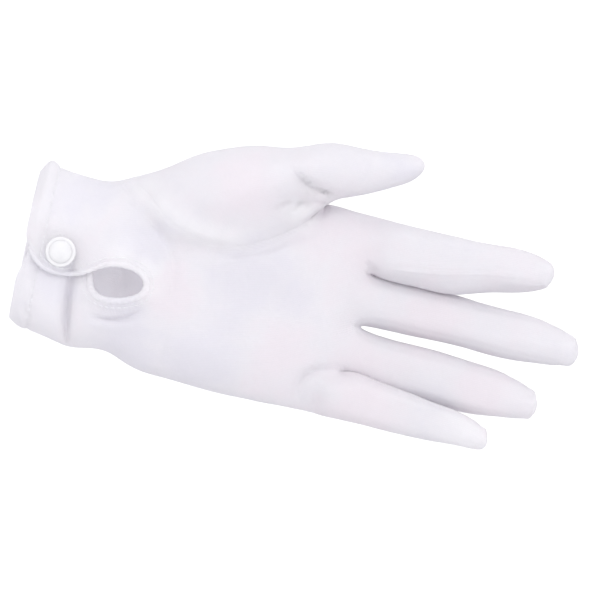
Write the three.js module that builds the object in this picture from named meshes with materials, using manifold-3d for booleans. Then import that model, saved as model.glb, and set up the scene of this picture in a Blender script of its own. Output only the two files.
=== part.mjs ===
// A buttoned dress glove for the left hand, in thin white cotton, filled out as it is when worn.
// Millimetres. +X runs from the wrist mouth to the fingertips, +Z to the thumb side, and the palm faces -Y.
// The origin is the middle of the wrist mouth.

import * as THREE from 'three';
import { mergeVertices } from 'three/addons/utils/BufferGeometryUtils.js';
import Module from 'manifold-3d';

// Driving sizes

const cloth_wall = 1.0;
const hem_wall = 2.0;
const hem_width = 8.5;
const seam_gap = 0.36;
const smallest_corner_sine = 0.35;
const piece_gap = 0.3;
const flap_lift = 0.9;
const underlap_depth = 2.6;

const underlap_shares = { under: 1, middle_split: 1, ring_palm: 0.55, ring_split: 0.15 };

const wrist_roundness = 2.0;
const palm_roundness = 2.35;
const thumb_columns = 5;
const thumb_oval_last_angle = 140;

const binding_radius = 1.3;
const binding_flap_radius = 0.8;
const binding_swells = [0.35, 0.6];
const binding_steps = 38;
const binding_sides = 6;

const button_x = 16.5;
const button_z = -1.0;
const cap_radius = 6.4;
const cap_dome_radius = 4.7;
const cap_rim_height = 1.35;
const cap_dome_height = 2.6;
const cap_rounding = 0.4;
const stud_radius = 1.6;
const stud_flange_radius = 4.4;
const stud_flange_height = 0.9;
const cap_segments = 16;
const stud_segments = 12;

const fit_rounds = 8;
const fold_steps = 24;
const fold_end_share = 0.06;

const cotton_white = 0xf2f1f7;
const cap_white = 0xf6f6fa;
const stud_grey = 0xc9c9cf;

// Cross-sections of wrist and palm. top and low are the outline heights, front and back the depths of the
// palm side and the back of the hand. seam and back_seam are where the thumb's seam line crosses.
const hand_sections = [
  { x: 0.0, top: 30.0, low: -31.0, front: 22.0, back: 21.5, seam: 16.0, back_seam: 16.0 },
  { x: 4.5, top: 35.4, low: -34.8, front: 24.4, back: 24.0, seam: 18.0, back_seam: 18.0 },
  { x: 9.5, top: 33.6, low: -36.4, front: 23.8, back: 23.2, seam: 19.0, back_seam: 19.0 },
  { x: 20.0, top: 32.4, low: -38.0, front: 23.0, back: 22.0, seam: 21.0, back_seam: 20.0 },
  { x: 30.0, top: 32.3, low: -39.0, front: 22.6, back: 21.2, seam: 25.0, back_seam: 22.0 },
  { x: 41.5, top: 37.0, low: -37.6, front: 22.0, back: 20.4, seam: 33.0, back_seam: 27.0 },
  { x: 53.0, top: 40.5, low: -41.4, front: 21.2, back: 19.4, seam: 25.5, back_seam: 22.0 },
  { x: 63.0, top: 40.5, low: -43.5, front: 20.4, back: 18.6, seam: 19.5, back_seam: 19.0 },
  { x: 75.0, top: 40.5, low: -44.2, front: 19.4, back: 17.6, seam: 15.8, back_seam: 19.0 },
  { x: 88.0, top: 40.5, low: -45.1, front: 18.4, back: 16.6, seam: 16.8, back_seam: 21.0 },
  { x: 101.0, top: 41.0, low: -45.4, front: 17.2, back: 15.8, seam: 22.5, back_seam: 25.0 },
  { x: 112.0, top: 41.5, low: -45.3, front: 16.2, back: 15.0, seam: 30.5, back_seam: 31.0 },
  { x: 122.5, top: 41.8, low: -45.0, front: 15.4, back: 14.6, seam: 36.0, back_seam: 36.0 },
  { x: 133.0, top: 41.2, low: -45.2, front: 14.2, back: 13.8, seam: 37.5, back_seam: 37.5 },
];

// Heights of the lengthwise lines on the palm side, from the thumb's seam down to the little finger's edge.
// The vent lies on the line middle_palm, which is there twice, on the flap and on the underlap below it.
const palm_lines = [
  { x: 0.0, index_palm: 8.0, index_split: 1.5, under: 7.0, middle_split: -7.0, ring_palm: -15.0,
    ring_split: -22.0, little_palm: -27.0, little_edge: -30.0 },
  { x: 20.0, index_palm: 12.0, index_split: 3.0, under: 7.0, middle_split: -9.5, ring_palm: -19.0,
    ring_split: -27.0, little_palm: -33.5, little_edge: -37.0 },
  { x: 30.0, index_palm: 14.0, index_split: -2.2, under: -1.5, middle_split: -16.5, ring_palm: -24.5,
    ring_split: -31.0, little_palm: -35.8, little_edge: -38.4 },
  { x: 41.5, index_palm: 17.0, index_split: 0.4, under: -8.0, middle_split: -19.2, ring_palm: -26.5,
    ring_split: -31.5, little_palm: -35.2, little_edge: -37.2 },
  { x: 53.0, index_palm: 12.5, index_split: -0.2, under: -8.0, middle_split: -16.2, ring_palm: -24.5,
    ring_split: -31.5, little_palm: -37.0, little_edge: -40.4 },
  { x: 80.0, index_palm: 8.5, index_split: 2.0, under: -4.5, middle_split: -12.0, ring_palm: -20.0,
    ring_split: -28.5, little_palm: -36.0, little_edge: -42.0 },
  { x: 99.0, index_palm: 15.0, index_split: 8.0, under: 0.0, middle_split: -8.5, ring_palm: -17.5,
    ring_split: -26.5, little_palm: -35.5, little_edge: -42.5 },
  { x: 112.0, index_palm: 22.5, index_split: 13.5, under: 4.0, middle_split: -6.0, ring_palm: -16.0,
    ring_split: -25.5, little_palm: -35.0, little_edge: -42.5 },
  { x: 143.0, index_palm: 29.0, index_split: 16.8, under: 5.6, middle_split: -5.7, ring_palm: -16.5,
    ring_split: -25.5, little_palm: -35.0, little_edge: -42.5 },
];

// Where the turned edges of flap, underlap and keyhole leave the straight sections: the edge of the cloth,
// inside its rolled binding.
const vent_edge = [
  { section: 0, line: 'flap', x: 2.4, z: -1.6 },
  { section: 1, line: 'flap', x: 5.2, z: -4.6 },
  { section: 2, line: 'flap', x: 10.5, z: -7.0 },
  { section: 3, line: 'flap', x: 19.5, z: -7.9 },
  { section: 4, line: 'flap', x: 28.0, z: -5.4 },
  { section: 4, line: 'under', x: 25.5, z: -1.5 },
  { section: 4, line: 'index_split', x: 34.5, z: -1.9 },
  { section: 4, line: 'middle_split', x: 29.0, z: -15.6 },
  { section: 5, line: 'index_split', x: 43.0, z: 0.4 },
  { section: 5, line: 'middle_split', x: 40.0, z: -19.2 },
  { section: 6, line: 'index_split', x: 52.5, z: -1.4 },
  { section: 6, line: 'under', x: 56.0, z: -8.4 },
  { section: 6, line: 'middle_split', x: 51.5, z: -15.6 },
];

// Shares of the way from the lower outline up to the thumb's seam, for the lengthwise lines of the back.
const back_shares = [0.04, 0.13, 0.24, 0.36, 0.48, 0.61, 0.75, 0.89, 1.0];

// Ovals of fingers and thumb. z and y are the middle, wide and deep the half breadth along Z and Y, twist
// the turn of the seams towards the palm and strip the half angle of the strips between the fingers.
const finger_ovals = {
  index: [
    { x: 143.0, z: 28.9, y: 0.0, wide: 12.1, deep: 11.2, twist: 0, strip: 50 },
    { x: 152.0, z: 28.8, y: -0.8, wide: 11.9, deep: 10.6, twist: 4, strip: 54 },
    { x: 165.0, z: 28.5, y: -1.5, wide: 11.6, deep: 10.2, twist: 8, strip: 56 },
    { x: 180.0, z: 28.4, y: -2.6, wide: 11.3, deep: 9.7, twist: 20, strip: 58 },
    { x: 194.0, z: 29.7, y: -4.0, wide: 9.9, deep: 9.0, twist: 28, strip: 56 },
    { x: 206.0, z: 30.9, y: -5.5, wide: 8.4, deep: 8.0, twist: 30, strip: 50 },
    { x: 215.0, z: 31.6, y: -6.6, wide: 6.6, deep: 6.4, twist: 30, strip: 34 },
    { x: 219.0, z: 32.0, y: -7.1, wide: 4.3, deep: 4.2, twist: 30, strip: 45 },
    { x: 220.8, z: 32.1, y: -7.3 },
  ],
  middle: [
    { x: 143.0, z: 5.5, y: 0.4, wide: 11.2, deep: 11.4, twist: 0, strip: 48 },
    { x: 152.0, z: 5.5, y: 0.4, wide: 10.6, deep: 10.8, twist: 0, strip: 50 },
    { x: 168.0, z: 5.4, y: 0.0, wide: 10.4, deep: 10.3, twist: 0, strip: 50 },
    { x: 185.0, z: 5.2, y: -1.2, wide: 10.1, deep: 9.8, twist: 0, strip: 50 },
    { x: 202.0, z: 4.2, y: -3.0, wide: 10.1, deep: 9.3, twist: 4, strip: 48 },
    { x: 217.0, z: 3.9, y: -5.0, wide: 9.4, deep: 8.5, twist: 6, strip: 45 },
    { x: 229.0, z: 3.4, y: -6.8, wide: 7.2, deep: 6.8, twist: 8, strip: 34 },
    { x: 235.3, z: 2.4, y: -7.7, wide: 4.6, deep: 4.5, twist: 8, strip: 45 },
    { x: 237.5, z: 1.9, y: -8.0 },
  ],
  ring: [
    { x: 143.0, z: -16.0, y: 0.6, wide: 10.4, deep: 11.2, twist: 0, strip: 48 },
    { x: 152.0, z: -17.2, y: 0.8, wide: 9.9, deep: 10.4, twist: 0, strip: 50 },
    { x: 165.0, z: -18.5, y: 0.6, wide: 10.3, deep: 10.0, twist: 0, strip: 50 },
    { x: 180.0, z: -19.7, y: -0.6, wide: 10.8, deep: 9.7, twist: 0, strip: 50 },
    { x: 195.0, z: -21.1, y: -2.6, wide: 10.8, deep: 9.2, twist: 0, strip: 48 },
    { x: 208.0, z: -21.5, y: -4.8, wide: 9.3, deep: 8.3, twist: 0, strip: 45 },
    { x: 218.0, z: -22.0, y: -6.6, wide: 7.4, deep: 6.7, twist: 0, strip: 34 },
    { x: 223.2, z: -22.9, y: -7.5, wide: 4.6, deep: 4.4, twist: 0, strip: 45 },
    { x: 225.2, z: -23.3, y: -7.9 },
  ],
  little: [
    { x: 138.5, z: -35.2, y: -3.6, wide: 10.4, deep: 11.0, twist: 0, strip: 48 },
    { x: 149.0, z: -35.6, y: -7.6, wide: 9.9, deep: 9.6, twist: 0, strip: 50 },
    { x: 160.0, z: -36.7, y: -9.6, wide: 9.2, deep: 9.0, twist: 0, strip: 50 },
    { x: 172.0, z: -37.7, y: -11.4, wide: 8.7, deep: 8.4, twist: 0, strip: 50 },
    { x: 184.0, z: -38.5, y: -13.2, wide: 7.6, deep: 7.6, twist: 0, strip: 48 },
    { x: 195.0, z: -39.3, y: -15.0, wide: 6.5, deep: 6.6, twist: 0, strip: 44 },
    { x: 202.5, z: -40.3, y: -16.2, wide: 5.2, deep: 5.2, twist: 0, strip: 34 },
    { x: 206.2, z: -41.2, y: -16.8, wide: 3.3, deep: 3.3, twist: 0, strip: 45 },
    { x: 207.6, z: -41.6, y: -17.0 },
  ],
};

const thumb_ovals = [
  { x: 53.0, z: 22.0, y: -2.4, wide: 21.4, deep: 19.8 },
  { x: 63.0, z: 27.2, y: -5.0, wide: 23.2, deep: 19.4 },
  { x: 75.0, z: 33.6, y: -8.5, wide: 22.4, deep: 18.6 },
  { x: 88.0, z: 40.0, y: -10.5, wide: 19.8, deep: 17.0 },
  { x: 101.0, z: 46.6, y: -12.0, wide: 15.0, deep: 14.8 },
  { x: 112.0, z: 52.4, y: -12.6, wide: 13.1, deep: 12.8 },
  { x: 121.0, z: 56.2, y: -12.8, wide: 11.4, deep: 11.4 },
  { x: 130.0, z: 57.2, y: -12.8, wide: 10.6, deep: 10.6 },
  { x: 139.0, z: 59.2, y: -12.6, wide: 8.9, deep: 9.3 },
  { x: 148.0, z: 62.0, y: -12.4, wide: 7.0, deep: 7.6 },
  { x: 154.8, z: 64.2, y: -12.2, wide: 4.8, deep: 5.2 },
  { x: 158.2, z: 65.2, y: -12.0 },
];
const thumb_web = { x: 121.0, y: -5.0, z: 42.0 };
const thumb_underside_shift = 5.0;
const finger_web_reach = 3.0;

// Folds and swells of the palm side, each along a curve from a through b to c. A positive height stands
// out, a negative one is a crease.
const palm_folds = [
  { name: 'thenar ridge', a: [42, 34], b: [62, 19.5], c: [96, 20], width: 4.4, height: 1.9 },
  { name: 'groove below ridge', a: [52, 18], b: [64, 9], c: [66, -8], width: 3.6, height: -1.6 },
  { name: 'underlap crease', a: [22.5, -12], b: [24, -24], c: [28.5, -38], width: 2.4, height: -3.0 },
  { name: 'fold under keyhole', a: [33, -24.5], b: [44, -24.5], c: [54, -18.5], width: 2.2, height: -1.3 },
  { name: 'keyhole swell', a: [36, 5], b: [58, 7], c: [59, -9], width: 4.6, height: 1.7 },
  { name: 'thumb crease', a: [105, 51], b: [114, 47.5], c: [124, 46.5], width: 2.2, height: -3.4 },
  { name: 'web crease', a: [98, 36], b: [109, 39.5], c: [122, 42], width: 2.6, height: -2.8 },
  { name: 'web swell', a: [106, 32], b: [112, 34.5], c: [117, 35], width: 4.6, height: 1.5 },
  { name: 'little root crease', a: [125.5, -40], b: [128, -29.5], c: [141, -25], width: 2.4, height: -2.4 },
  { name: 'little root swell', a: [131, -36], b: [137, -33], c: [150, -33], width: 5.0, height: 1.4 },
  { name: 'palm hollow', a: [74, -4], b: [96, -2], c: [116, -4], width: 12.0, height: -2.2 },
  { name: 'heel swell', a: [66, -30], b: [84, -31], c: [104, -31], width: 9.0, height: 2.0 },
];

// Small helpers

const radians = THREE.MathUtils.degToRad;
const mix = THREE.MathUtils.lerp;
const smoothstep = THREE.MathUtils.smoothstep;

function readTable(table, x, column) {
  const after = table.findIndex((row) => row.x >= x);
  if (after === 0) {
    return table[0][column];
  }
  if (after < 0) {
    return table[table.length - 1][column];
  }
  const low = table[after - 1];
  const high = table[after];
  return mix(low[column], high[column], (x - low.x) / (high.x - low.x));
}

function onOval(oval, degrees) {
  const angle = radians(degrees);
  const y = oval.y - oval.deep * Math.sin(angle);
  const z = oval.z + oval.wide * Math.cos(angle);
  return new THREE.Vector3(oval.x, y, z);
}

// The control net of the outer surface

const net = { points: [], faces: [] };

function addPoint(point) {
  net.points.push(point);
  return net.points.length - 1;
}

function addFace(a, b, c, d, cloth) {
  net.faces.push({ corners: [a, b, c, d], cloth });
}

function handDepth(section, z, roundness) {
  const middle = (section.top + section.low) / 2;
  const half = (section.top - section.low) / 2;
  const share = Math.min(Math.abs(z - middle) / half, 1);
  return Math.pow(1 - Math.pow(share, roundness), 1 / roundness);
}

function sectionRoundness(x) {
  return mix(wrist_roundness, palm_roundness, smoothstep(x, 40, 90));
}

function palmPoint(section, x, z) {
  const depth = handDepth(section, z, sectionRoundness(section.x));
  return new THREE.Vector3(x, -section.front * depth, z);
}

function backPoint(section, x, z) {
  const depth = handDepth(section, z, sectionRoundness(section.x));
  return new THREE.Vector3(x, section.back * depth, z);
}

const line_names = ['index_palm', 'index_split', 'under', 'middle_split', 'ring_palm', 'ring_split',
  'little_palm', 'little_edge'];

// Rows of hand_sections where something starts, and columns of the ring that a section makes.
const keyhole_first = 4;
const keyhole_last = 6;
const first_thumb_section = 6;
const split_section = 11;
const snap_section = 3;
const flap_column = 2;
const under_column = 3;
const back_seam_column = 18;

function ventPlace(sectionIndex, line) {
  return vent_edge.find((row) => row.section === sectionIndex && row.line === line);
}

// One cross-section of the hand as named points: seam, palm lines, little finger's edge, back and thumb.
function makeSection(sectionIndex) {
  const section = hand_sections[sectionIndex];
  const ring = {};
  const hasThumbOval = sectionIndex >= first_thumb_section && sectionIndex <= split_section;
  const thumbOval = hasThumbOval ? thumb_ovals[sectionIndex - first_thumb_section] : null;
  const seamPoint = palmPoint(section, section.x, section.seam);
  if (thumbOval) {
    const share = (section.seam - thumbOval.z) / thumbOval.wide;
    if (Math.abs(share) < 1) {
      seamPoint.y = Math.min(seamPoint.y, thumbOval.y - thumbOval.deep * Math.sqrt(1 - share * share));
    }
  }
  ring.seam = addPoint(seamPoint);
  for (const line of line_names) {
    if (line === 'under' && sectionIndex === keyhole_first + 1) {
      continue;
    }
    const place = ventPlace(sectionIndex, line);
    const x = place ? place.x : section.x;
    const z = place ? place.z : readTable(palm_lines, section.x, line);
    const point = palmPoint(section, x, z);
    if (sectionIndex <= keyhole_first) {
      point.y += underlapOffset(line);
    }
    ring[line] = addPoint(point);
  }
  if (sectionIndex <= keyhole_first) {
    const place = ventPlace(sectionIndex, 'flap');
    const point = palmPoint(section, place.x, place.z);
    point.y -= flap_lift;
    ring.flap = addPoint(point);
  }
  ring.low = addPoint(new THREE.Vector3(section.x, 0, section.low));
  ring.back = back_shares.map((share) => {
    const z = mix(section.low, section.back_seam, share);
    return addPoint(backPoint(section, section.x, z));
  });
  ring.thumb = [];
  if (sectionIndex <= split_section) {
    const oval = thumbOval ?? {
      x: section.x,
      y: 0,
      z: (section.top + section.low) / 2,
      wide: (section.top - section.low) / 2,
    };
    const from = -angleOnOval(oval, section.back_seam);
    const to = angleOnOval(oval, section.seam);
    for (let column = 1; column <= thumb_columns; column += 1) {
      const degrees = mix(from, to, column / (thumb_columns + 1));
      const deep = thumbOval ? thumbOval.deep : degrees > 0 ? section.front : section.back;
      ring.thumb.push(addPoint(onOval({ ...oval, deep }, degrees)));
    }
  }
  return ring;
}

function underlapOffset(line) {
  return underlap_depth * (underlap_shares[line] ?? 0);
}

function angleOnOval(oval, z) {
  const share = THREE.MathUtils.clamp((z - oval.z) / oval.wide, -1, 1);
  return Math.min(THREE.MathUtils.radToDeg(Math.acos(share)), thumb_oval_last_angle);
}

function ringOrder(ring, side) {
  const middle = side ? ring[side] : ring.under;
  const palm = [ring.seam, ring.index_palm, ring.index_split, middle, ring.middle_split, ring.ring_palm,
    ring.ring_split, ring.little_palm, ring.little_edge];
  return [...palm, ring.low, ...ring.back, ...ring.thumb];
}

function joinRings(near, far, clothOf) {
  const count = near.length;
  for (let k = 0; k < count; k += 1) {
    const next = (k + 1) % count;
    const cloth = clothOf(k);
    if (cloth) {
      addFace(near[k], near[next], far[next], far[k], cloth);
    }
  }
}

const sections = hand_sections.map((_, index) => makeSection(index));

for (let index = 0; index < split_section; index += 1) {
  const near = sections[index];
  const far = sections[index + 1];
  const thumbHere = index >= keyhole_first + 1;
  const clothOf = (k) => (thumbHere && k >= back_seam_column ? 'thumb' : 'trank');
  if (index < keyhole_first) {
    joinRings(ringOrder(near, 'flap'), ringOrder(far, 'flap'), (k) => (k === flap_column ? 'trank' : null));
    joinRings(ringOrder(near), ringOrder(far), (k) => (k === flap_column ? null : clothOf(k)));
  } else if (index < keyhole_last) {
    const isKeyhole = (k) => k === flap_column || k === under_column;
    joinRings(ringOrder(near), ringOrder(far), (k) => (isKeyhole(k) ? null : clothOf(k)));
  } else {
    joinRings(ringOrder(near), ringOrder(far), clothOf);
  }
}

// The palm goes on past the thumb's web to the roots of the fingers.
const web = addPoint(new THREE.Vector3(thumb_web.x, thumb_web.y, thumb_web.z));

function palmRing(ring, top) {
  return [top, ...ringOrder({ ...ring, thumb: [] })];
}

const finger_names = ['index', 'middle', 'ring', 'little'];
const finger_steps = [0, 45, 90, 135, 180, 225, 270, 315];

// The seams of the strips lie at 45, 135, 225 and 315 degrees before strip and twist move them.
function fingerRing(oval) {
  return finger_steps.map((degrees) => {
    const up = degrees === 45 || degrees === 315;
    const down = degrees === 135 || degrees === 225;
    const side = degrees < 180 ? 1 : -1;
    let angle = degrees;
    if (up) {
      angle = side * oval.strip;
    }
    if (down) {
      angle = 180 - side * oval.strip;
    }
    return onOval(oval, angle - oval.twist);
  });
}

const roots = {};
for (const name of finger_names) {
  roots[name] = fingerRing(finger_ovals[name][0]);
}

function sharedPoint(name, stepA, next, stepB, reach) {
  const point = roots[name][stepA].clone().add(roots[next][stepB]).multiplyScalar(0.5);
  point.x += reach;
  return addPoint(point);
}

const webs = [];
const palmCrotches = [];
const backCrotches = [];
for (let k = 0; k < 3; k += 1) {
  const name = finger_names[k];
  const next = finger_names[k + 1];
  webs.push(sharedPoint(name, 4, next, 0, finger_web_reach));
  palmCrotches.push(sharedPoint(name, 3, next, 1, 0));
  backCrotches.push(sharedPoint(name, 5, next, 7, 0));
}

function rootPoint(name, step) {
  return addPoint(roots[name][step]);
}

const indexTop = rootPoint('index', 0);
const indexSeam = rootPoint('index', 1);
const indexPalm = rootPoint('index', 2);
const indexBack = rootPoint('index', 6);
const indexBackSeam = rootPoint('index', 7);
const middlePalm = rootPoint('middle', 2);
const middleBack = rootPoint('middle', 6);
const ringPalm = rootPoint('ring', 2);
const ringBack = rootPoint('ring', 6);
const littlePalm = rootPoint('little', 2);
const littleEdge = rootPoint('little', 3);
const littleLow = rootPoint('little', 4);
const littleBackEdge = rootPoint('little', 5);
const littleBack = rootPoint('little', 6);

const rootRing = [indexTop, indexSeam, indexPalm, palmCrotches[0], middlePalm, palmCrotches[1], ringPalm,
  palmCrotches[2], littlePalm, littleEdge, littleLow, littleBackEdge, littleBack, backCrotches[2], ringBack,
  backCrotches[1], middleBack, backCrotches[0], indexBack, indexBackSeam];

let palmNear = palmRing(sections[split_section], web);
for (let index = split_section + 1; index < hand_sections.length; index += 1) {
  const section = hand_sections[index];
  const top = addPoint(new THREE.Vector3(section.x + 2, 0, section.top));
  const palmFar = palmRing(sections[index], top);
  joinRings(palmNear, palmFar, () => 'trank');
  palmNear = palmFar;
}
joinRings(palmNear, rootRing, () => 'trank');

// Tubes of the fingers, with the strips between them, and of the thumb

function closeTip(ring, tip, cloth) {
  const centre = addPoint(tip);
  for (let k = 0; k < ring.length; k += 2) {
    addFace(ring[k], ring[k + 1], ring[(k + 2) % ring.length], centre, cloth);
  }
}

function makeFinger(name, root, clothOf) {
  const ovals = finger_ovals[name];
  const last = ovals.length - 1;
  let near = root;
  for (let index = 1; index < last; index += 1) {
    const far = fingerRing(ovals[index]).map(addPoint);
    const inTip = index === last - 1;
    joinRings(near, far, (k) => (inTip ? 'trank' : clothOf(k)));
    near = far;
  }
  const tip = ovals[last];
  closeTip(near, new THREE.Vector3(tip.x, tip.y, tip.z), 'trank');
}

const upper_strip = [7, 0];
const lower_strip = [3, 4];

function stripCloth(upper, lower) {
  return (k) => {
    if (upper && upper_strip.includes(k)) {
      return upper;
    }
    if (lower && lower_strip.includes(k)) {
      return lower;
    }
    return 'trank';
  };
}

const strip_names = ['fourchette_index_middle', 'fourchette_middle_ring', 'fourchette_ring_little'];

makeFinger('index', [indexTop, indexSeam, indexPalm, palmCrotches[0], webs[0], backCrotches[0], indexBack,
  indexBackSeam], stripCloth(null, strip_names[0]));
makeFinger('middle', [webs[0], palmCrotches[0], middlePalm, palmCrotches[1], webs[1], backCrotches[1],
  middleBack, backCrotches[0]], stripCloth(strip_names[0], strip_names[1]));
makeFinger('ring', [webs[1], palmCrotches[1], ringPalm, palmCrotches[2], webs[2], backCrotches[2], ringBack,
  backCrotches[1]], stripCloth(strip_names[1], strip_names[2]));
makeFinger('little', [webs[2], palmCrotches[2], littlePalm, littleEdge, littleLow, littleBackEdge,
  littleBack, backCrotches[2]], stripCloth(strip_names[2], null));

function makeThumb() {
  const split = sections[split_section];
  const backSeam = split.back[split.back.length - 1];
  let near = [split.thumb[2], split.thumb[3], split.thumb[4], split.seam, web, backSeam, split.thumb[0],
    split.thumb[1]];
  const firstFree = split_section - first_thumb_section + 1;
  const last = thumb_ovals.length - 1;
  for (let index = firstFree; index < last; index += 1) {
    const oval = thumb_ovals[index];
    const shift = index === firstFree ? thumb_underside_shift : 0;
    const far = finger_steps.map((degrees) => {
      const point = onOval(oval, degrees);
      point.x += (shift * (1 - Math.cos(radians(degrees)))) / 2;
      return addPoint(point);
    });
    joinRings(near, far, () => 'thumb');
    near = far;
  }
  const tip = thumb_ovals[last];
  closeTip(near, new THREE.Vector3(tip.x, tip.y, tip.z), 'thumb');
}

makeThumb();

// Smooth subdivision of the net

function edgeKey(a, b) {
  return a < b ? `${a}_${b}` : `${b}_${a}`;
}

function findEdges(faces) {
  const edges = new Map();
  faces.forEach((face, faceIndex) => {
    const { corners } = face;
    corners.forEach((a, k) => {
      const b = corners[(k + 1) % corners.length];
      const key = edgeKey(a, b);
      if (!edges.has(key)) {
        edges.set(key, { a, b, faces: [] });
      }
      edges.get(key).faces.push(faceIndex);
    });
  });
  return edges;
}

// What surrounds each point: its neighbours along edges, the far corners of its faces, and on a free edge
// only the two neighbours along that edge.
function findSurroundings(count, faces) {
  const around = Array.from({ length: count }, () => ({ near: new Set(), far: [], free: [] }));
  for (const face of faces) {
    const { corners } = face;
    corners.forEach((corner, k) => {
      around[corner].near.add(corners[(k + 1) % 4]);
      around[corner].near.add(corners[(k + 3) % 4]);
      around[corner].far.push(corners[(k + 2) % 4]);
    });
  }
  for (const edge of findEdges(faces).values()) {
    if (edge.faces.length === 1) {
      around[edge.a].free.push(edge.b);
      around[edge.b].free.push(edge.a);
    }
  }
  return around;
}

function sumOf(points, indices) {
  const sum = new THREE.Vector3();
  for (const index of indices) {
    sum.add(points[index]);
  }
  return sum;
}

// Where each point of a net ends up on the smooth surface.
function smoothPositions(points, around) {
  return points.map((point, index) => {
    const { near, far, free } = around[index];
    if (free.length) {
      return sumOf(points, free).addScaledVector(point, 4).divideScalar(6);
    }
    const n = near.size;
    const weighted = sumOf(points, near).multiplyScalar(4).add(sumOf(points, far));
    return weighted.addScaledVector(point, n * n).divideScalar(n * (n + 5));
  });
}

// Moves the net until its smooth surface runs through the points of the tables.
function fitNet(points, faces, rounds) {
  const around = findSurroundings(points.length, faces);
  const fitted = points.map((point) => point.clone());
  for (let round = 0; round < rounds; round += 1) {
    const smooth = smoothPositions(fitted, around);
    fitted.forEach((point, index) => {
      point.add(points[index]).sub(smooth[index]);
    });
  }
  return fitted;
}

function subdivide(points, faces) {
  const edges = findEdges(faces);
  const facePoints = faces.map((face) => sumOf(points, face.corners).divideScalar(4));
  const around = points.map(() => ({ mids: [], centres: [], free: [] }));
  const newPoints = points.map((point) => point.clone());
  for (const edge of edges.values()) {
    const mid = points[edge.a].clone().add(points[edge.b]).multiplyScalar(0.5);
    around[edge.a].mids.push(mid);
    around[edge.b].mids.push(mid);
    const place = mid.clone();
    if (edge.faces.length === 2) {
      place.add(facePoints[edge.faces[0]].clone().add(facePoints[edge.faces[1]]).multiplyScalar(0.5));
      place.multiplyScalar(0.5);
    } else {
      around[edge.a].free.push(points[edge.b]);
      around[edge.b].free.push(points[edge.a]);
    }
    edge.index = newPoints.push(place) - 1;
  }
  faces.forEach((face, index) => {
    face.corners.forEach((corner) => around[corner].centres.push(facePoints[index]));
  });
  points.forEach((point, index) => {
    const { mids, centres, free } = around[index];
    const place = newPoints[index];
    if (free.length) {
      place.multiplyScalar(6).add(free[0]).add(free[1]).divideScalar(8);
      return;
    }
    const n = mids.length;
    const midMean = mids.reduce((sum, mid) => sum.add(mid), new THREE.Vector3()).divideScalar(n);
    const centreMean = centres.reduce((sum, mid) => sum.add(mid), new THREE.Vector3()).divideScalar(n);
    place.multiplyScalar(n - 3).addScaledVector(midMean, 2).add(centreMean).divideScalar(n);
  });
  const newFaces = [];
  faces.forEach((face, index) => {
    const centre = newPoints.push(facePoints[index]) - 1;
    face.corners.forEach((corner, k) => {
      const next = edges.get(edgeKey(corner, face.corners[(k + 1) % 4])).index;
      const before = edges.get(edgeKey(corner, face.corners[(k + 3) % 4])).index;
      newFaces.push({ corners: [corner, next, centre, before], cloth: face.cloth });
    });
  });
  return { points: newPoints, faces: newFaces };
}

function findNormals(points, faces) {
  const normals = points.map(() => new THREE.Vector3());
  for (const face of faces) {
    const [a, b, c, d] = face.corners.map((corner) => points[corner]);
    const normal = c.clone().sub(a).cross(d.clone().sub(b));
    face.corners.forEach((corner) => normals[corner].add(normal));
  }
  return normals.map((normal) => normal.normalize());
}

// Folds

function foldHeight(fold, x, z) {
  const start = new THREE.Vector2(...fold.a);
  const middle = new THREE.Vector2(...fold.b);
  const end = new THREE.Vector2(...fold.c);
  const handle = middle.clone().multiplyScalar(2).sub(start.clone().add(end).multiplyScalar(0.5));
  const curve = new THREE.QuadraticBezierCurve(start, handle, end);
  let nearest = Infinity;
  let share = 0;
  for (let step = 0; step <= fold_steps; step += 1) {
    const point = curve.getPoint(step / fold_steps);
    const distance = Math.hypot(point.x - x, point.y - z);
    if (distance < nearest) {
      nearest = distance;
      share = step / fold_steps;
    }
  }
  const along = THREE.MathUtils.clamp(share, fold_end_share, 1 - fold_end_share);
  const taper = Math.sqrt(Math.sin(Math.PI * along));
  return fold.height * taper * Math.exp(-((nearest / fold.width) ** 2));
}

function palmRelief(point, normal) {
  const facing = smoothstep(-normal.y, 0.15, 0.6);
  if (facing === 0) {
    return 0;
  }
  const total = palm_folds.reduce((sum, fold) => sum + foldHeight(fold, point.x, point.z), 0);
  return total * facing;
}

const fitted = fitNet(net.points, net.faces, fit_rounds);
const cloth = subdivide(fitted, net.faces);
cloth.points = smoothPositions(cloth.points, findSurroundings(cloth.points.length, cloth.faces));
const firstNormals = findNormals(cloth.points, cloth.faces);
cloth.points.forEach((point, index) => {
  point.y -= palmRelief(point, firstNormals[index]);
});
cloth.normals = findNormals(cloth.points, cloth.faces);

// Closed cloth pieces cut from the surface along the seams

function wallAt(point) {
  return mix(hem_wall, cloth_wall, smoothstep(point.x, hem_width - 1, hem_width + 1.5));
}

function pushQuad(triangles, points, a, b, c, d) {
  const first = points[a].distanceTo(points[c]);
  const second = points[b].distanceTo(points[d]);
  if (first <= second) {
    triangles.push(a, b, c, a, c, d);
  } else {
    triangles.push(a, b, d, b, c, d);
  }
}

// At a point of a free edge, the way square to that edge and along the surface, on the side of its faces.
function intoCloth(points, corner, free, normal, facesSide) {
  const [before, after] = free.map((other) => points[other].clone().sub(points[corner]).normalize());
  const across = before.clone().sub(after).cross(normal).normalize();
  if (across.dot(facesSide) < 0) {
    across.negate();
  }
  return { across, sine: Math.sin(Math.min(before.angleTo(across), Math.PI - before.angleTo(across))) };
}

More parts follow.
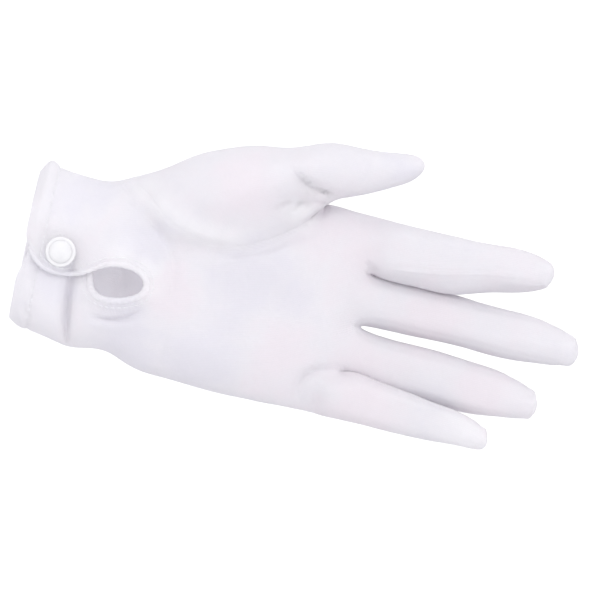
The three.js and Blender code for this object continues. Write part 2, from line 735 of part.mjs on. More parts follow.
function clothPiece(name) {
  const faces = cloth.faces.filter((face) => face.cloth === name);
  const seams = new Set();
  cloth.faces.filter((face) => face.cloth !== name).forEach((face) => {
    face.corners.forEach((corner) => seams.add(corner));
  });
  const around = findSurroundings(cloth.points.length, faces);
  const inwards = new Map();
  for (const face of faces) {
    const centre = sumOf(cloth.points, face.corners).divideScalar(4);
    for (const corner of face.corners) {
      const sum = inwards.get(corner) ?? new THREE.Vector3();
      inwards.set(corner, sum.add(centre).sub(cloth.points[corner]));
    }
  }
  const places = new Map();
  const points = [];
  for (const [corner, inward] of inwards) {
    const normal = cloth.normals[corner];
    const outer = cloth.points[corner].clone();
    if (seams.has(corner)) {
      const { across, sine } = intoCloth(cloth.points, corner, around[corner].free, normal, inward);
      outer.addScaledVector(across, seam_gap / 2 / Math.max(sine, smallest_corner_sine));
    }
    places.set(corner, points.length);
    points.push(outer, outer.clone().addScaledVector(normal, -wallAt(outer)));
  }
  const triangles = [];
  const outerOf = (corner) => places.get(corner);
  const innerOf = (corner) => places.get(corner) + 1;
  for (const face of faces) {
    const [a, b, c, d] = face.corners;
    pushQuad(triangles, points, outerOf(a), outerOf(b), outerOf(c), outerOf(d));
    pushQuad(triangles, points, innerOf(d), innerOf(c), innerOf(b), innerOf(a));
  }
  for (const { a, b, faces: sides } of findEdges(faces).values()) {
    if (sides.length === 1) {
      pushQuad(triangles, points, outerOf(b), outerOf(a), innerOf(a), innerOf(b));
    }
  }
  return { points, triangles };
}

// Solids for cutting

const wasm = await Module();
wasm.setup();

function plainGeometry(points, triangles) {
  const geometry = new THREE.BufferGeometry();
  const numbers = new Float32Array(points.flatMap((point) => point.toArray()));
  geometry.setAttribute('position', new THREE.BufferAttribute(numbers, 3));
  geometry.setIndex(triangles);
  geometry.computeVertexNormals();
  return geometry;
}

// The rolled edge of the vent: along the flap, round the keyhole and under the flap again

function walkFreeEdge(start, towards, end) {
  const around = findSurroundings(cloth.points.length, cloth.faces);
  const path = [start];
  const free = around[start].free;
  const nearer = (a, b) => cloth.points[a].distanceTo(towards) - cloth.points[b].distanceTo(towards);
  let here = [...free].sort(nearer)[0];
  while (here !== end) {
    path.push(here);
    const before = path[path.length - 2];
    here = around[here].free.find((other) => other !== before);
  }
  path.push(end);
  return path;
}

function awayFromCloth(corner, free) {
  const facesSide = new THREE.Vector3();
  for (const face of cloth.faces) {
    if (face.corners.includes(corner)) {
      facesSide.add(sumOf(cloth.points, face.corners).divideScalar(4)).sub(cloth.points[corner]);
    }
  }
  return intoCloth(cloth.points, corner, free, cloth.normals[corner], facesSide).across.negate();
}

function makeBinding() {
  const flapCorner = sections[0].flap;
  const hiddenEnd = sections[keyhole_first].under;
  const path = walkFreeEdge(flapCorner, cloth.points[sections[1].flap], hiddenEnd);
  const radii = path.map((_, k) => {
    const share = k / (path.length - 1);
    return mix(binding_flap_radius, binding_radius, smoothstep(share, ...binding_swells));
  });
  const around = findSurroundings(cloth.points.length, cloth.faces);
  const centres = path.map((corner, k) => {
    const centre = cloth.points[corner].clone();
    centre.addScaledVector(awayFromCloth(corner, around[corner].free), radii[k] + piece_gap);
    return centre.addScaledVector(cloth.normals[corner], -cloth_wall / 2);
  });
  const curve = new THREE.CatmullRomCurve3(centres, false, 'centripetal');
  const frames = curve.computeFrenetFrames(binding_steps, false);
  const points = [];
  const triangles = [];
  for (let step = 0; step <= binding_steps; step += 1) {
    const share = step / binding_steps;
    const centre = curve.getPointAt(share);
    const place = share * (radii.length - 1);
    const before = Math.min(Math.floor(place), radii.length - 2);
    const radius = mix(radii[before], radii[before + 1], place - before);
    for (let side = 0; side < binding_sides; side += 1) {
      const angle = (2 * Math.PI * side) / binding_sides;
      const point = centre.clone();
      point.addScaledVector(frames.normals[step], radius * Math.cos(angle));
      point.addScaledVector(frames.binormals[step], radius * Math.sin(angle));
      points.push(point);
    }
  }
  for (let step = 0; step < binding_steps; step += 1) {
    for (let side = 0; side < binding_sides; side += 1) {
      const a = step * binding_sides + side;
      const b = step * binding_sides + ((side + 1) % binding_sides);
      triangles.push(a, b, b + binding_sides, a, b + binding_sides, a + binding_sides);
    }
  }
  const last = binding_steps * binding_sides;
  for (let side = 1; side < binding_sides - 1; side += 1) {
    triangles.push(0, side + 1, side, last, last + side, last + side + 1);
  }
  return plainGeometry(points, triangles);
}

// The snap: a cap on the flap, and a hidden stud with a collar between flap and underlap

function clothHeights(radius, wantFlap) {
  const heights = [];
  cloth.points.forEach((point, index) => {
    const distance = Math.hypot(point.x - button_x, point.z - button_z);
    if (distance > radius || cloth.normals[index].y > -0.5) {
      return;
    }
    const between = palmPoint(hand_sections[snap_section], point.x, point.z).y + underlap_depth / 2;
    if (point.y < between === wantFlap) {
      heights.push(point.y);
    }
  });
  return heights;
}

const reach = cap_radius + 1;
const flapHeights = clothHeights(reach, true);
const underHeights = clothHeights(reach, false);
const snap = {
  seat: Math.min(...flapHeights) - piece_gap,
  collarFront: Math.max(...flapHeights) + cloth_wall + piece_gap,
  collarBack: Math.min(...underHeights) - piece_gap,
  flange: Math.max(...underHeights) + cloth_wall + piece_gap,
};

// Turned round the Y axis. Each profile is pairs of radius and height, and height runs out of the palm.
function turned(profile, segments) {
  return new THREE.LatheGeometry(profile.map(([r, h]) => new THREE.Vector2(r, h)), segments);
}

function capGeometry() {
  const rim = cap_rim_height;
  const dome = cap_dome_radius;
  return turned([
    [0, 0],
    [cap_radius - cap_rounding, 0],
    [cap_radius, cap_rounding],
    [cap_radius, rim - cap_rounding],
    [cap_radius - cap_rounding, rim],
    [dome + 0.6, rim],
    [dome + 0.2, rim - 0.35],
    [dome, rim - 0.1],
    [dome * 0.88, mix(rim, cap_dome_height, 0.5)],
    [dome * 0.6, mix(rim, cap_dome_height, 0.85)],
    [dome * 0.3, cap_dome_height - 0.05],
    [0, cap_dome_height],
  ], cap_segments);
}

function studGeometry() {
  const depths = {
    top: -piece_gap,
    collarFront: snap.seat - snap.collarFront,
    collarBack: snap.seat - snap.collarBack,
    flange: snap.seat - snap.flange,
    end: snap.seat - snap.flange - stud_flange_height,
  };
  return turned([
    [0, depths.end],
    [stud_flange_radius, depths.end],
    [stud_flange_radius, depths.flange],
    [stud_radius, depths.flange],
    [stud_radius, depths.collarBack],
    [stud_flange_radius, depths.collarBack],
    [stud_flange_radius, depths.collarFront],
    [stud_radius, depths.collarFront],
    [stud_radius, depths.top],
    [0, depths.top],
  ], stud_segments);
}

function geometrySolid(geometry) {
  const bare = geometry.clone();
  bare.deleteAttribute('normal');
  bare.deleteAttribute('uv');
  const merged = mergeVertices(bare);
  return new wasm.Manifold(new wasm.Mesh({
    numProp: 3,
    vertProperties: new Float32Array(merged.attributes.position.array),
    triVerts: new Uint32Array(merged.index.array),
  }));
}

// The cloth of flap and underlap with a round hole for the stud's post.
function withStudHole(points, triangles) {
  const length = snap.flange - snap.seat;
  const radius = stud_radius + piece_gap;
  const hole = new THREE.CylinderGeometry(radius, radius, length, stud_segments);
  hole.translate(button_x, (snap.seat + snap.flange) / 2, button_z);
  const cut = geometrySolid(plainGeometry(points, triangles)).subtract(geometrySolid(hole)).getMesh();
  const geometry = new THREE.BufferGeometry();
  geometry.setAttribute('position', new THREE.BufferAttribute(cut.vertProperties, 3));
  geometry.setIndex(new THREE.BufferAttribute(cut.triVerts, 1));
  geometry.computeVertexNormals();
  return geometry;
}

// The glove

const glove = new THREE.Group();

function addMesh(name, geometry, color, roughness, metalness) {
  const material = new THREE.MeshStandardMaterial({ color, roughness, metalness });
  const mesh = new THREE.Mesh(geometry, material);
  mesh.name = name;
  glove.add(mesh);
  return mesh;
}

function addSnapPiece(name, geometry, color, roughness, metalness) {
  const mesh = addMesh(name, geometry, color, roughness, metalness);
  mesh.position.set(button_x, snap.seat, button_z);
  mesh.rotation.x = Math.PI;
}

const trank = clothPiece('trank');
addMesh('trank', withStudHole(trank.points, trank.triangles), cotton_white, 0.9, 0);
for (const name of ['thumb', ...strip_names]) {
  const { points, triangles } = clothPiece(name);
  addMesh(name, plainGeometry(points, triangles), cotton_white, 0.9, 0);
}
addMesh('keyhole_binding', makeBinding(), cotton_white, 0.9, 0);
addSnapPiece('button_cap', capGeometry(), cap_white, 0.35, 0);
addSnapPiece('snap_stud', studGeometry(), stud_grey, 0.4, 1);

export default glove;
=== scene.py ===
import math

import bpy
import numpy as np
from mathutils import Matrix, Vector, noise
from mathutils.bvhtree import BVHTree
from mathutils.kdtree import KDTree


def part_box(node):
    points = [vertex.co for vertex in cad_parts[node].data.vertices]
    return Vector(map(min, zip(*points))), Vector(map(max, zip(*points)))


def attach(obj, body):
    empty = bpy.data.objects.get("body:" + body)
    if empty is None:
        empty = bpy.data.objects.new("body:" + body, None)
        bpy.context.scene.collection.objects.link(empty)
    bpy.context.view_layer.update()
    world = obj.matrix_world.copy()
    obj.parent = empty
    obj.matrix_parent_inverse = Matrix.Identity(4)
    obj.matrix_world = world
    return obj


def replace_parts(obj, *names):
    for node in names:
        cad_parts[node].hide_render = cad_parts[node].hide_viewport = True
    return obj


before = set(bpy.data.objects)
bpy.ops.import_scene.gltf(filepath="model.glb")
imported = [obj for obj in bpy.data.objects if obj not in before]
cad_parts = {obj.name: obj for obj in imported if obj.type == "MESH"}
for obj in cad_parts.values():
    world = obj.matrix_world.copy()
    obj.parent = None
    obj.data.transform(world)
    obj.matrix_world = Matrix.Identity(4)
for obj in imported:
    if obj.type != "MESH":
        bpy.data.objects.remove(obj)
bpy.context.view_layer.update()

# Driving sizes. The tables are in millimetres and degrees, and the code turns their lengths to metres.
MM = 0.001
CLOTH_WALL = 1.0 * MM
HEM_WALL = 2.0 * MM
HEM_WIDTH = 8.5 * MM
FLAP_LIFT = 0.9 * MM
UNDERLAP_DEPTH = 3.0 * MM
UNDERLAP_SHARES = {"under": 1.0, "middle_split": 1.0, "ring_palm": 0.55, "ring_split": 0.15}
WRIST_ROUNDNESS = 2.0
PALM_ROUNDNESS = 2.35
ROUNDNESS_TURN = (40 * MM, 90 * MM)
THUMB_COLUMNS = 5
THUMB_LAST_ANGLE = 140.0
THUMB_UNDERSIDE_SHIFT = 5.0 * MM
THUMB_WEB = (121 * MM, -5 * MM, 42 * MM)
TOP_EDGE_SHIFT = 2.0 * MM
FINGER_WEB_REACH = 3.0 * MM
STRIP_POINT_SHARE = 0.45
FINGER_FULLNESS = 1.07
FULLER_SIDES = {("index", 135): 1.15, ("ring", 135): 1.12, ("little", 45): 1.15}
FIT_ROUNDS = 8
SMOOTH_LEVELS = 3

HAND_COLUMNS = ("x", "top", "low", "front", "back", "seam", "back_seam")
HAND_SECTIONS = (
    (1, 30.6, -32.6, 22.2, 21.7, 16, 16),
    (4.5, 35.4, -34.7, 24.4, 24, 18, 18),
    (9.5, 33.6, -36, 23.8, 23.2, 19, 19),
    (20, 32.4, -38, 23, 22, 21, 20),
    (30, 32.3, -39, 22.6, 21.2, 25, 22),
    (41.5, 37, -37.6, 22, 20.4, 33, 27),
    (53, 40.5, -41.4, 21.2, 19.4, 25.5, 22),
    (63, 40.5, -43.5, 20.4, 18.6, 19.5, 19),
    (75, 40.5, -44.2, 19.4, 17.6, 15.8, 19),
    (88, 40.5, -45.1, 18.4, 16.6, 16.8, 21),
    (101, 41, -45.4, 17.2, 15.8, 22.5, 25),
    (112, 41.5, -45.3, 16.2, 15, 30.5, 31),
    (122.5, 41.8, -45, 15.4, 14.6, 36, 36),
    (133, 41.2, -45.2, 14.2, 13.8, 37.5, 37.5),
)

# Heights of the lengthwise lines on the palm side.
LINE_NAMES = ("index_palm", "index_split", "under", "middle_split", "ring_palm", "ring_split",
              "little_palm", "little_edge")
PALM_LINES = (
    (0, 8, 1.5, 7, -7, -15, -22, -27, -30),
    (20, 12, 3, 7, -9.5, -19, -27, -33.5, -37),
    (30, 14, -2.2, -1.5, -16.5, -24.5, -31, -35.8, -38.4),
    (41.5, 17, 0.4, -8, -19.2, -26.5, -31.5, -35.2, -37.2),
    (53, 12.5, -0.2, -8, -16.2, -24.5, -31.5, -37, -40.4),
    (80, 8.5, 2, -4.5, -12, -20, -28.5, -36, -42),
    (99, 15, 8, 0, -8.5, -17.5, -26.5, -35.5, -42.5),
    (112, 22.5, 13.5, 4, -6, -16, -25.5, -35, -42.5),
    (143, 29, 16.8, 5.6, -5.7, -16.5, -25.5, -35, -42.5),
)

# Where the edges of flap, underlap and keyhole leave the straight sections, as x and z.
VENT_EDGE = {
    0: {"index_split": (1.4, 3), "under": (5, 7), "middle_split": (2.8, -7), "flap": (3.2, -0.9)},
    1: {"flap": (6.4, -4.4)},
    2: {"flap": (11.2, -8)},
    3: {"flap": (19.5, -9.2)},
    4: {"index_split": (34.5, -1.9), "under": (27.5, -1.5), "flap": (28, -6.2),
        "middle_split": (30.8, -14.8)},
    5: {"index_split": (43, 0.4), "middle_split": (40.5, -18.3)},
    6: {"index_split": (52.5, -1.4), "under": (56, -8.4), "middle_split": (51.8, -15)},
}
BACK_SHARES = (0.04, 0.13, 0.24, 0.36, 0.48, 0.61, 0.75, 0.89, 1.0)

# Ovals of fingers and thumb: place, half breadths along Z and Y, and in degrees the turn of the seams
# towards the palm and the half angle of the strips between the fingers.
OVAL_COLUMNS = ("x", "z", "y", "wide", "deep", "twist", "strip")
ANGLES = ("twist", "strip")
FINGER_OVALS = {
    "index": (
        (143, 28.9, 0, 12.1, 11.2, 0, 50),
        (152, 28.1, -3.4, 12.4, 10.6, 4, 54),
        (165, 27.8, -5, 12.3, 10.2, 8, 56),
        (180, 27.6, -5.6, 12.1, 9.7, 18, 56),
        (194, 29.6, -5.8, 10, 9, 26, 50),
        (206, 30.9, -6.2, 8.6, 8.1, 28, 42),
        (215, 31.5, -6.6, 6.9, 6.7, 28, 30),
        (219, 31.9, -7.1, 4.7, 4.6, 28, 45),
        (220.8, 32.1, -7.3),
    ),
    "middle": (
        (143, 5.5, 0.4, 11.2, 11.4, 0, 48),
        (152, 5.7, 1.4, 10.6, 10.8, 0, 50),
        (168, 5.5, 1.6, 10.5, 10.3, 0, 50),
        (185, 5.2, 0.4, 10.3, 9.8, 0, 50),
        (202, 4.2, -2.4, 10.1, 9.3, 4, 48),
        (217, 3.9, -5, 9.5, 8.6, 6, 42),
        (229, 3.3, -6.8, 7.5, 7.1, 8, 30),
        (235.3, 2.5, -7.7, 5.3, 5.1, 8, 45),
        (237.5, 1.9, -8),
    ),
    "ring": (
        (143, -16, 0.6, 10.4, 11.2, 0, 48),
        (152, -18.1, 0.8, 10.8, 10.4, 0, 50),
        (165, -19.6, 0.6, 11.3, 10, 0, 50),
        (180, -20.1, -0.6, 11.3, 9.7, 0, 50),
        (195, -21.1, -2.6, 10.8, 9.2, 0, 48),
        (208, -21.4, -4.8, 9.4, 8.4, 0, 42),
        (218, -22.2, -6.6, 7.6, 7, 0, 30),
        (223.2, -22.9, -7.5, 5.1, 4.9, 0, 45),
        (225.2, -23.3, -7.9),
    ),
    "little": (
        (138.5, -35, -4.4, 10.6, 11, 0, 48),
        (149, -35.2, -8.8, 10.4, 9.6, 0, 50),
        (160, -36.3, -11.4, 9.6, 9, 0, 50),
        (172, -37.4, -12, 9, 8.4, 0, 50),
        (184, -38.4, -11.8, 7.9, 7.7, 0, 46),
        (195, -39.1, -12.2, 6.8, 6.7, 0, 40),
        (202, -40.2, -12.5, 5.6, 5.5, 0, 30),
        (206.1, -41.1, -12.9, 4, 4, 0, 45),
        (207.7, -41.6, -13.1),
    ),
}
THUMB_OVALS = (
    (53, 22, -2.4, 21.4, 19.8),
    (63, 27.2, -5, 23.2, 19.4),
    (75, 33.6, -8.5, 22.4, 18.6),
    (88, 40, -10.5, 19.8, 17),
    (101, 46.6, -12, 15, 14.8),
    (112, 52.4, -12.6, 13.1, 12.8),
    (121, 56.2, -12.8, 11.4, 11.4),
    (130, 57.2, -12.8, 10.6, 10.6),
    (139, 59.2, -12.6, 8.9, 9.3),
    (148, 62, -12.4, 7, 7.6),
    (154.8, 64.2, -12.2, 4.8, 5.2),
    (158.2, 65.2, -12),
)

# Folds and swells of the palm side, each along a curve from a through b to c, as x and z, with its width
# and its height, which is negative for a crease.
PALM_FOLDS = {
    "thenar ridge": ((37, 40), (59.8, 20.3), (98, 20.2), 3.9, 2.6),
    "hollow above ridge": ((54, 40), (70, 28.5), (98, 28.5), 5, -1),
    "groove below ridge": ((50, 18.5), (60.5, 9), (65, -8), 2.4, -1.5),
    "underlap crease": ((22.6, -4), (23.8, -24), (27.8, -41), 1.6, -5.4),
    "underlap trough": ((22.2, -4), (23.2, -24), (27.2, -41), 4.2, -1.6),
    "fold under keyhole": ((34, -24.2), (44, -24.2), (53, -19), 1, -2.5),
    "hollow under keyhole": ((33, -20.8), (44, -22.2), (55, -16.5), 2.6, -1.2),
    "keyhole swell": ((36, 5), (58, 7), (59, -9), 4.6, 1.7),
    "thumb crease": ((104.5, 52.5), (114, 47.5), (127, 46.8), 1.3, -3.6),
    "web crease": ((98, 36), (109, 39.8), (122, 42.8), 1.4, -3.2),
    "web swell": ((105, 32.5), (112, 34.5), (119, 35), 4.6, 2.8),
    "little root crease": ((126, -40), (128, -29.5), (142.5, -24.3), 1.7, -2.4),
    "little root swell": ((131, -36), (137, -33), (150, -33), 5, 1.4),
    "palm hollow": ((74, -4), (96, -2), (116, -4), 12, -2.2),
    "heel swell": ((66, -30), (84, -31), (104, -31), 9, 2),
}
FINE_PALM_FOLDS = {
    "pucker above wrist": ((33, 31.5), (37.5, 30), (41.5, 26), 1.5, -0.8),
    "second fold under keyhole": ((34, -27.2), (46, -27.5), (57, -22.5), 1.8, 0.7),
    "cuff crease": ((6.2, -25.5), (7.4, -30), (8.2, -35), 1.2, -1),
    "index seam": ((150, 21.3), (174, 25.5), (203, 31), 0.9, -0.7),
    "index seam swell": ((150, 19.3), (174, 23.5), (203, 29), 1.2, 0.5),
    "index crotch": ((142, 21.5), (144.8, 19.7), (147.5, 16.5), 1.3, -1.8),
    "web edge": ((119.2, 43), (120.3, 39.5), (120.4, 35.5), 1.2, -1),
    "middle facet": ((152, 4), (190, 2.2), (229, 4.2), 2.8, 0.6),
    "middle root hollow": ((136, 6), (143, 1), (150, -3.5), 4.5, -1),
    "thumb line": ((122, 50), (134, 53), (149, 59), 3, -0.6),
}
BACK_FOLDS = {
    "wrist fold one": ((26, -30), (30, 0), (28, 26), 3, -0.8),
    "wrist fold two": ((37, -26), (42, 4), (38, 30), 3.4, -1),
    "wrist fold three": ((49, -20), (53, 6), (50, 28), 3, -0.6),
    "thumb fold": ((83, 22), (98, 33), (119, 39), 4, -1.4),
    "index knuckle": ((108, 28), (119, 27), (130, 28), 8, 1.2),
    "middle knuckle": ((112, 5), (123, 5), (134, 6), 8, 1.4),
    "ring knuckle": ((108, -16), (119, -16), (130, -17), 7.5, 1.2),
    "little knuckle": ((100, -34), (110, -34), (120, -34), 7, 1),
}

# Middle joints and end joints of the fingers and the thumb: x, z, half width across.
JOINT_CREASES = (
    (169, 28.5, 8.5), (194, 29.7, 7), (172, 5.4, 8), (199, 4.5, 7.5),
    (169, -18.7, 8), (193, -21, 8), (164, -37, 7), (184, -38.5, 5.5),
    (135, 58, 7),
)
JOINT_CREASE_HEIGHTS = (-0.30, -0.18)
JOINT_CREASE_WIDTH = 1.3
JOINT_CREASE_STEP = 3.6
JOINT_CREASE_BEND = 1.2

# Sections and columns of the net
KEYHOLE_FIRST = 4
KEYHOLE_LAST = 6
FIRST_THUMB_SECTION = 6
SPLIT_SECTION = 11
FLAP_COLUMN = 2
UNDER_COLUMN = 3
BACK_SEAM_COLUMN = 18
HAND_ANCHOR = 4
FINGER_ANCHOR = 2
THUMB_ANCHOR = 4
FINGER_STEPS = (0, 45, 90, 135, 180, 225, 270, 315)
STRIP_NAMES = ("fourchette_index_middle", "fourchette_middle_ring", "fourchette_ring_little")
CLOTHS = ("trank", "thumb") + STRIP_NAMES


# Small helpers

def as_rows(columns, table):
    """The rows of a table by column name."""
    units = [1.0 if column in ANGLES else MM for column in columns]
    return [{column: value * scale for column, value, scale in zip(columns, row, units)} for row in table]


def mix(a, b, share):
    return a + (b - a) * share


def smoothstep(value, low, high):
    share = np.clip((value - low) / (high - low), 0.0, 1.0)
    return share * share * (3.0 - 2.0 * share)


def unit(vectors):
    return vectors / np.maximum(np.linalg.norm(vectors, axis=-1, keepdims=True), 1e-12)


def lengths_along(places):
    steps = np.linalg.norm(np.diff(places, axis=0), axis=1)
    return np.concatenate(([0.0], np.cumsum(steps)))


def on_oval(oval, degrees):
    angle = math.radians(degrees)
    y = oval["y"] - oval["deep"] * math.sin(angle)
    return np.array((oval["x"], y, oval["z"] + oval["wide"] * math.cos(angle)))


def neighbours(edges):
    near = {}
    for a, b in edges:
        near.setdefault(a, []).append(b)
        near.setdefault(b, []).append(a)
    return near


def nearest_gaps(points, places):
    """How far each point lies from the nearest of the places."""
    tree = KDTree(len(places))
    for k, place in enumerate(places):
        tree.insert(place, k)
    tree.balance()
    return np.array([tree.find(point)[2] for point in points])


def bands(rows):
    """Faces between neighbouring rings of corners. A ring of one repeated corner closes an end."""
    faces = []
    for near, far in zip(rows, rows[1:]):
        for k in range(len(near)):
            after = (k + 1) % len(near)
            faces.append(tuple(dict.fromkeys((near[k], far[k], far[after], near[after]))))
    return faces


# The control net of the outer surface

class Net:
    """Points, four-cornered faces, each face's cloth and its corners' places in that cloth."""

    def __init__(self):
        self.points = []
        self.faces = []
        self.cloths = []
        self.knit = []

    def point(self, place):
        self.points.append(np.array(place, float))
        return len(self.points) - 1

    def face(self, corners, cloth, rounds):
        self.faces.append(corners)
        self.cloths.append(CLOTHS.index(cloth))
        self.knit.append([(self.points[i][0], r) for i, r in zip(corners, rounds)])

    def lengths(self, ring, anchor):
        """How far round the ring each point lies from the anchor, with the way back to the start."""
        along = lengths_along([self.points[i] for i in [*ring, ring[0]]])
        return along - along[anchor]

    def join(self, near, far, cloth_of, anchor):
        """A band of faces between two rings, without the columns that have no cloth."""
        near_along = self.lengths(near, anchor)
        far_along = self.lengths(far, anchor)
        for k in range(len(near)):
            cloth = cloth_of(k)
            if cloth:
                after = (k + 1) % len(near)
                rounds = (near_along[k], near_along[k + 1], far_along[k + 1], far_along[k])
                self.face((near[k], near[after], far[after], far[k]), cloth, rounds)

    def close(self, ring, tip, cloth, anchor):
        along = self.lengths(ring, anchor)
        centre = self.point(tip)
        for k in range(0, len(ring), 2):
            corners = (ring[k], ring[k + 1], ring[(k + 2) % len(ring)], centre)
            self.face(corners, cloth, (along[k], along[k + 1], along[k + 2], along[k + 1]))


net = Net()
sections_table = as_rows(HAND_COLUMNS, HAND_SECTIONS)
lines_table = as_rows(("x",) + LINE_NAMES, PALM_LINES)
thumb_table = as_rows(OVAL_COLUMNS, THUMB_OVALS)
finger_table = {name: as_rows(OVAL_COLUMNS, rows) for name, rows in FINGER_OVALS.items()}


def line_height(line, x):
    return float(np.interp(x, [row["x"] for row in lines_table], [row[line] for row in lines_table]))


def hand_point(section, side, x, z):
    """A point on the front or the back of the plain hand."""
    half = (section["top"] - section["low"]) / 2
    share = min(abs(z - section["low"] - half) / half, 1.0)
    power = mix(WRIST_ROUNDNESS, PALM_ROUNDNESS, smoothstep(section["x"], *ROUNDNESS_TURN))
    depth = section[side] * (1.0 - share ** power) ** (1.0 / power)
    return np.array((x, -depth if side == "front" else depth, z))


def angle_on_oval(oval, z):
    share = min(max((z - oval["z"]) / oval["wide"], -1.0), 1.0)
    return min(math.degrees(math.acos(share)), THUMB_LAST_ANGLE)


def thumb_side(section, thumb_oval):
    """The points round the thumb's side, or round the wrist's edge where there is no thumb yet."""
    half = (section["top"] - section["low"]) / 2
    oval = thumb_oval or {"x": section["x"], "y": 0.0, "z": section["low"] + half, "wide": half}
    start = -angle_on_oval(oval, section["back_seam"])
    end = angle_on_oval(oval, section["seam"])
    points = []
    for column in range(1, THUMB_COLUMNS + 1):
        degrees = mix(start, end, column / (THUMB_COLUMNS + 1))
        deep = oval.get("deep", section["front" if degrees > 0 else "back"])
        points.append(net.point(on_oval({**oval, "deep": deep}, degrees)))
    return points


def make_section(index):
    """One cross-section of the hand as named points."""
    section = sections_table[index]
    thumb_oval = None
    if FIRST_THUMB_SECTION <= index <= SPLIT_SECTION:
        thumb_oval = thumb_table[index - FIRST_THUMB_SECTION]
    vent = {line: (x * MM, z * MM) for line, (x, z) in VENT_EDGE.get(index, {}).items()}
    seam = hand_point(section, "front", section["x"], section["seam"])
    if thumb_oval:
        share = (section["seam"] - thumb_oval["z"]) / thumb_oval["wide"]
        if abs(share) < 1:
            seam[1] = min(seam[1], thumb_oval["y"] - thumb_oval["deep"] * math.sqrt(1 - share * share))
    ring = {"seam": net.point(seam)}
    for line in LINE_NAMES:
        if line == "under" and index == KEYHOLE_FIRST + 1:
            continue
        straight = (section["x"], line_height(line, section["x"]))
        place = hand_point(section, "front", *vent.get(line, straight))
        if "flap" in vent:
            place[1] += UNDERLAP_DEPTH * UNDERLAP_SHARES.get(line, 0.0)
        ring[line] = net.point(place)
    if "flap" in vent:
        place = hand_point(section, "front", *vent["flap"])
        place[1] -= FLAP_LIFT
        ring["flap"] = net.point(place)
    ring["low"] = net.point((section["x"], 0.0, section["low"]))
    heights = [mix(section["low"], section["back_seam"], share) for share in BACK_SHARES]
    ring["back"] = [net.point(hand_point(section, "back", section["x"], z)) for z in heights]
    ring["thumb"] = thumb_side(section, thumb_oval) if index <= SPLIT_SECTION else []
    return ring


def ring_order(ring, side="under", with_thumb=True):
    """A section's points in order. The keyhole's middle lacks one, and the next one stands in."""
    middle = ring.get(side, ring["middle_split"])
    palm = [ring["seam"], ring["index_palm"], ring["index_split"], middle, ring["middle_split"],
            ring["ring_palm"], ring["ring_split"], ring["little_palm"], ring["little_edge"]]
    return [*palm, ring["low"], *ring["back"], *(ring["thumb"] if with_thumb else [])]


sections = [make_section(index) for index in range(len(sections_table))]


def make_hand():
    for index in range(SPLIT_SECTION):
        near, far = sections[index], sections[index + 1]
        left_out = (FLAP_COLUMN, UNDER_COLUMN) if index < KEYHOLE_LAST else ()
        if index < KEYHOLE_FIRST:
            left_out = (FLAP_COLUMN,)
            flap_cloths = {FLAP_COLUMN: "trank"}
            net.join(ring_order(near, "flap"), ring_order(far, "flap"), flap_cloths.get, HAND_ANCHOR)

        def cloth_of(k):
            if k in left_out:
                return None
            return "thumb" if index > KEYHOLE_FIRST and k >= BACK_SEAM_COLUMN else "trank"

        net.join(ring_order(near), ring_order(far), cloth_of, HAND_ANCHOR)


def finger_ring(oval, name=None):
    """Eight points. The strips' seams start at 45, 135, 225 and 315, and strip and twist move them."""
    places = []
    for degrees in FINGER_STEPS:
        side = 1 if degrees < 180 else -1
        angle = degrees
        if degrees in (45, 315):
            angle = side * oval["strip"]
        if degrees in (135, 225):
            angle = 180 - side * oval["strip"]
        fullness = FULLER_SIDES.get((name, degrees), FINGER_FULLNESS) if name and degrees % 90 else 1.0
        fuller = {**oval, "wide": oval["wide"] * fullness, "deep": oval["deep"] * fullness}
        places.append(on_oval(fuller, angle - oval["twist"]))
    return places


def make_finger(name, root, cloth_of):
    ovals = finger_table[name]
    near = root
    for oval in ovals[1:-1]:
        places = finger_ring(oval, None if oval in ovals[-3:] else name)
        if oval is ovals[-3]:
            for step in (0, 4):
                if cloth_of(step) != "trank":
                    places[step] = mix(places[step], finger_ring(ovals[-2])[step], STRIP_POINT_SHARE)
        far = [net.point(place) for place in places]
        in_tip = oval is ovals[-2]
        net.join(near, far, lambda k: "trank" if in_tip else cloth_of(k), FINGER_ANCHOR)
        near = far
    net.close(near, [ovals[-1][axis] for axis in "xyz"], "trank", FINGER_ANCHOR)


def strip_cloth(upper, lower):
    cloths = {7: upper, 0: upper, 3: lower, 4: lower}
    return lambda k: cloths.get(k) or "trank"


def make_fingers():
    """Joins the fingers' roots to the hand, and returns the point of the thumb's web."""
    names = list(finger_table)
    roots = {name: finger_ring(finger_table[name][0]) for name in names}
    shared = {}
    for upper, lower in zip(names, names[1:]):
        for step, other, reach in ((4, 0, FINGER_WEB_REACH), (3, 1, 0.0), (5, 7, 0.0)):
            place = (roots[upper][step] + roots[lower][other]) / 2
            shared[upper, step] = shared[lower, other] = net.point(place + (reach, 0.0, 0.0))
    rings = {}
    for name in names:
        rings[name] = [shared.get((name, k)) or net.point(place) for k, place in enumerate(roots[name])]
    palm_side = [corner for name in names for corner in rings[name][2:4]]
    back_side = [corner for name in reversed(names) for corner in rings[name][5:7]]
    index_ring = rings["index"]
    root_ring = [*index_ring[:2], *palm_side, rings["little"][4], *back_side, index_ring[7]]
    web = net.point(THUMB_WEB)
    near = [web, *ring_order(sections[SPLIT_SECTION], with_thumb=False)]
    for index in range(SPLIT_SECTION + 1, len(sections_table)):
        section = sections_table[index]
        top = net.point((section["x"] + TOP_EDGE_SHIFT, 0.0, section["top"]))
        far = [top, *ring_order(sections[index], with_thumb=False)]
        net.join(near, far, lambda k: "trank", HAND_ANCHOR + 1)
        near = far
    net.join(near, root_ring, lambda k: "trank", HAND_ANCHOR + 1)
    strips = (None,) + STRIP_NAMES + (None,)
    for k, name in enumerate(names):
        make_finger(name, rings[name], strip_cloth(strips[k], strips[k + 1]))
    return web


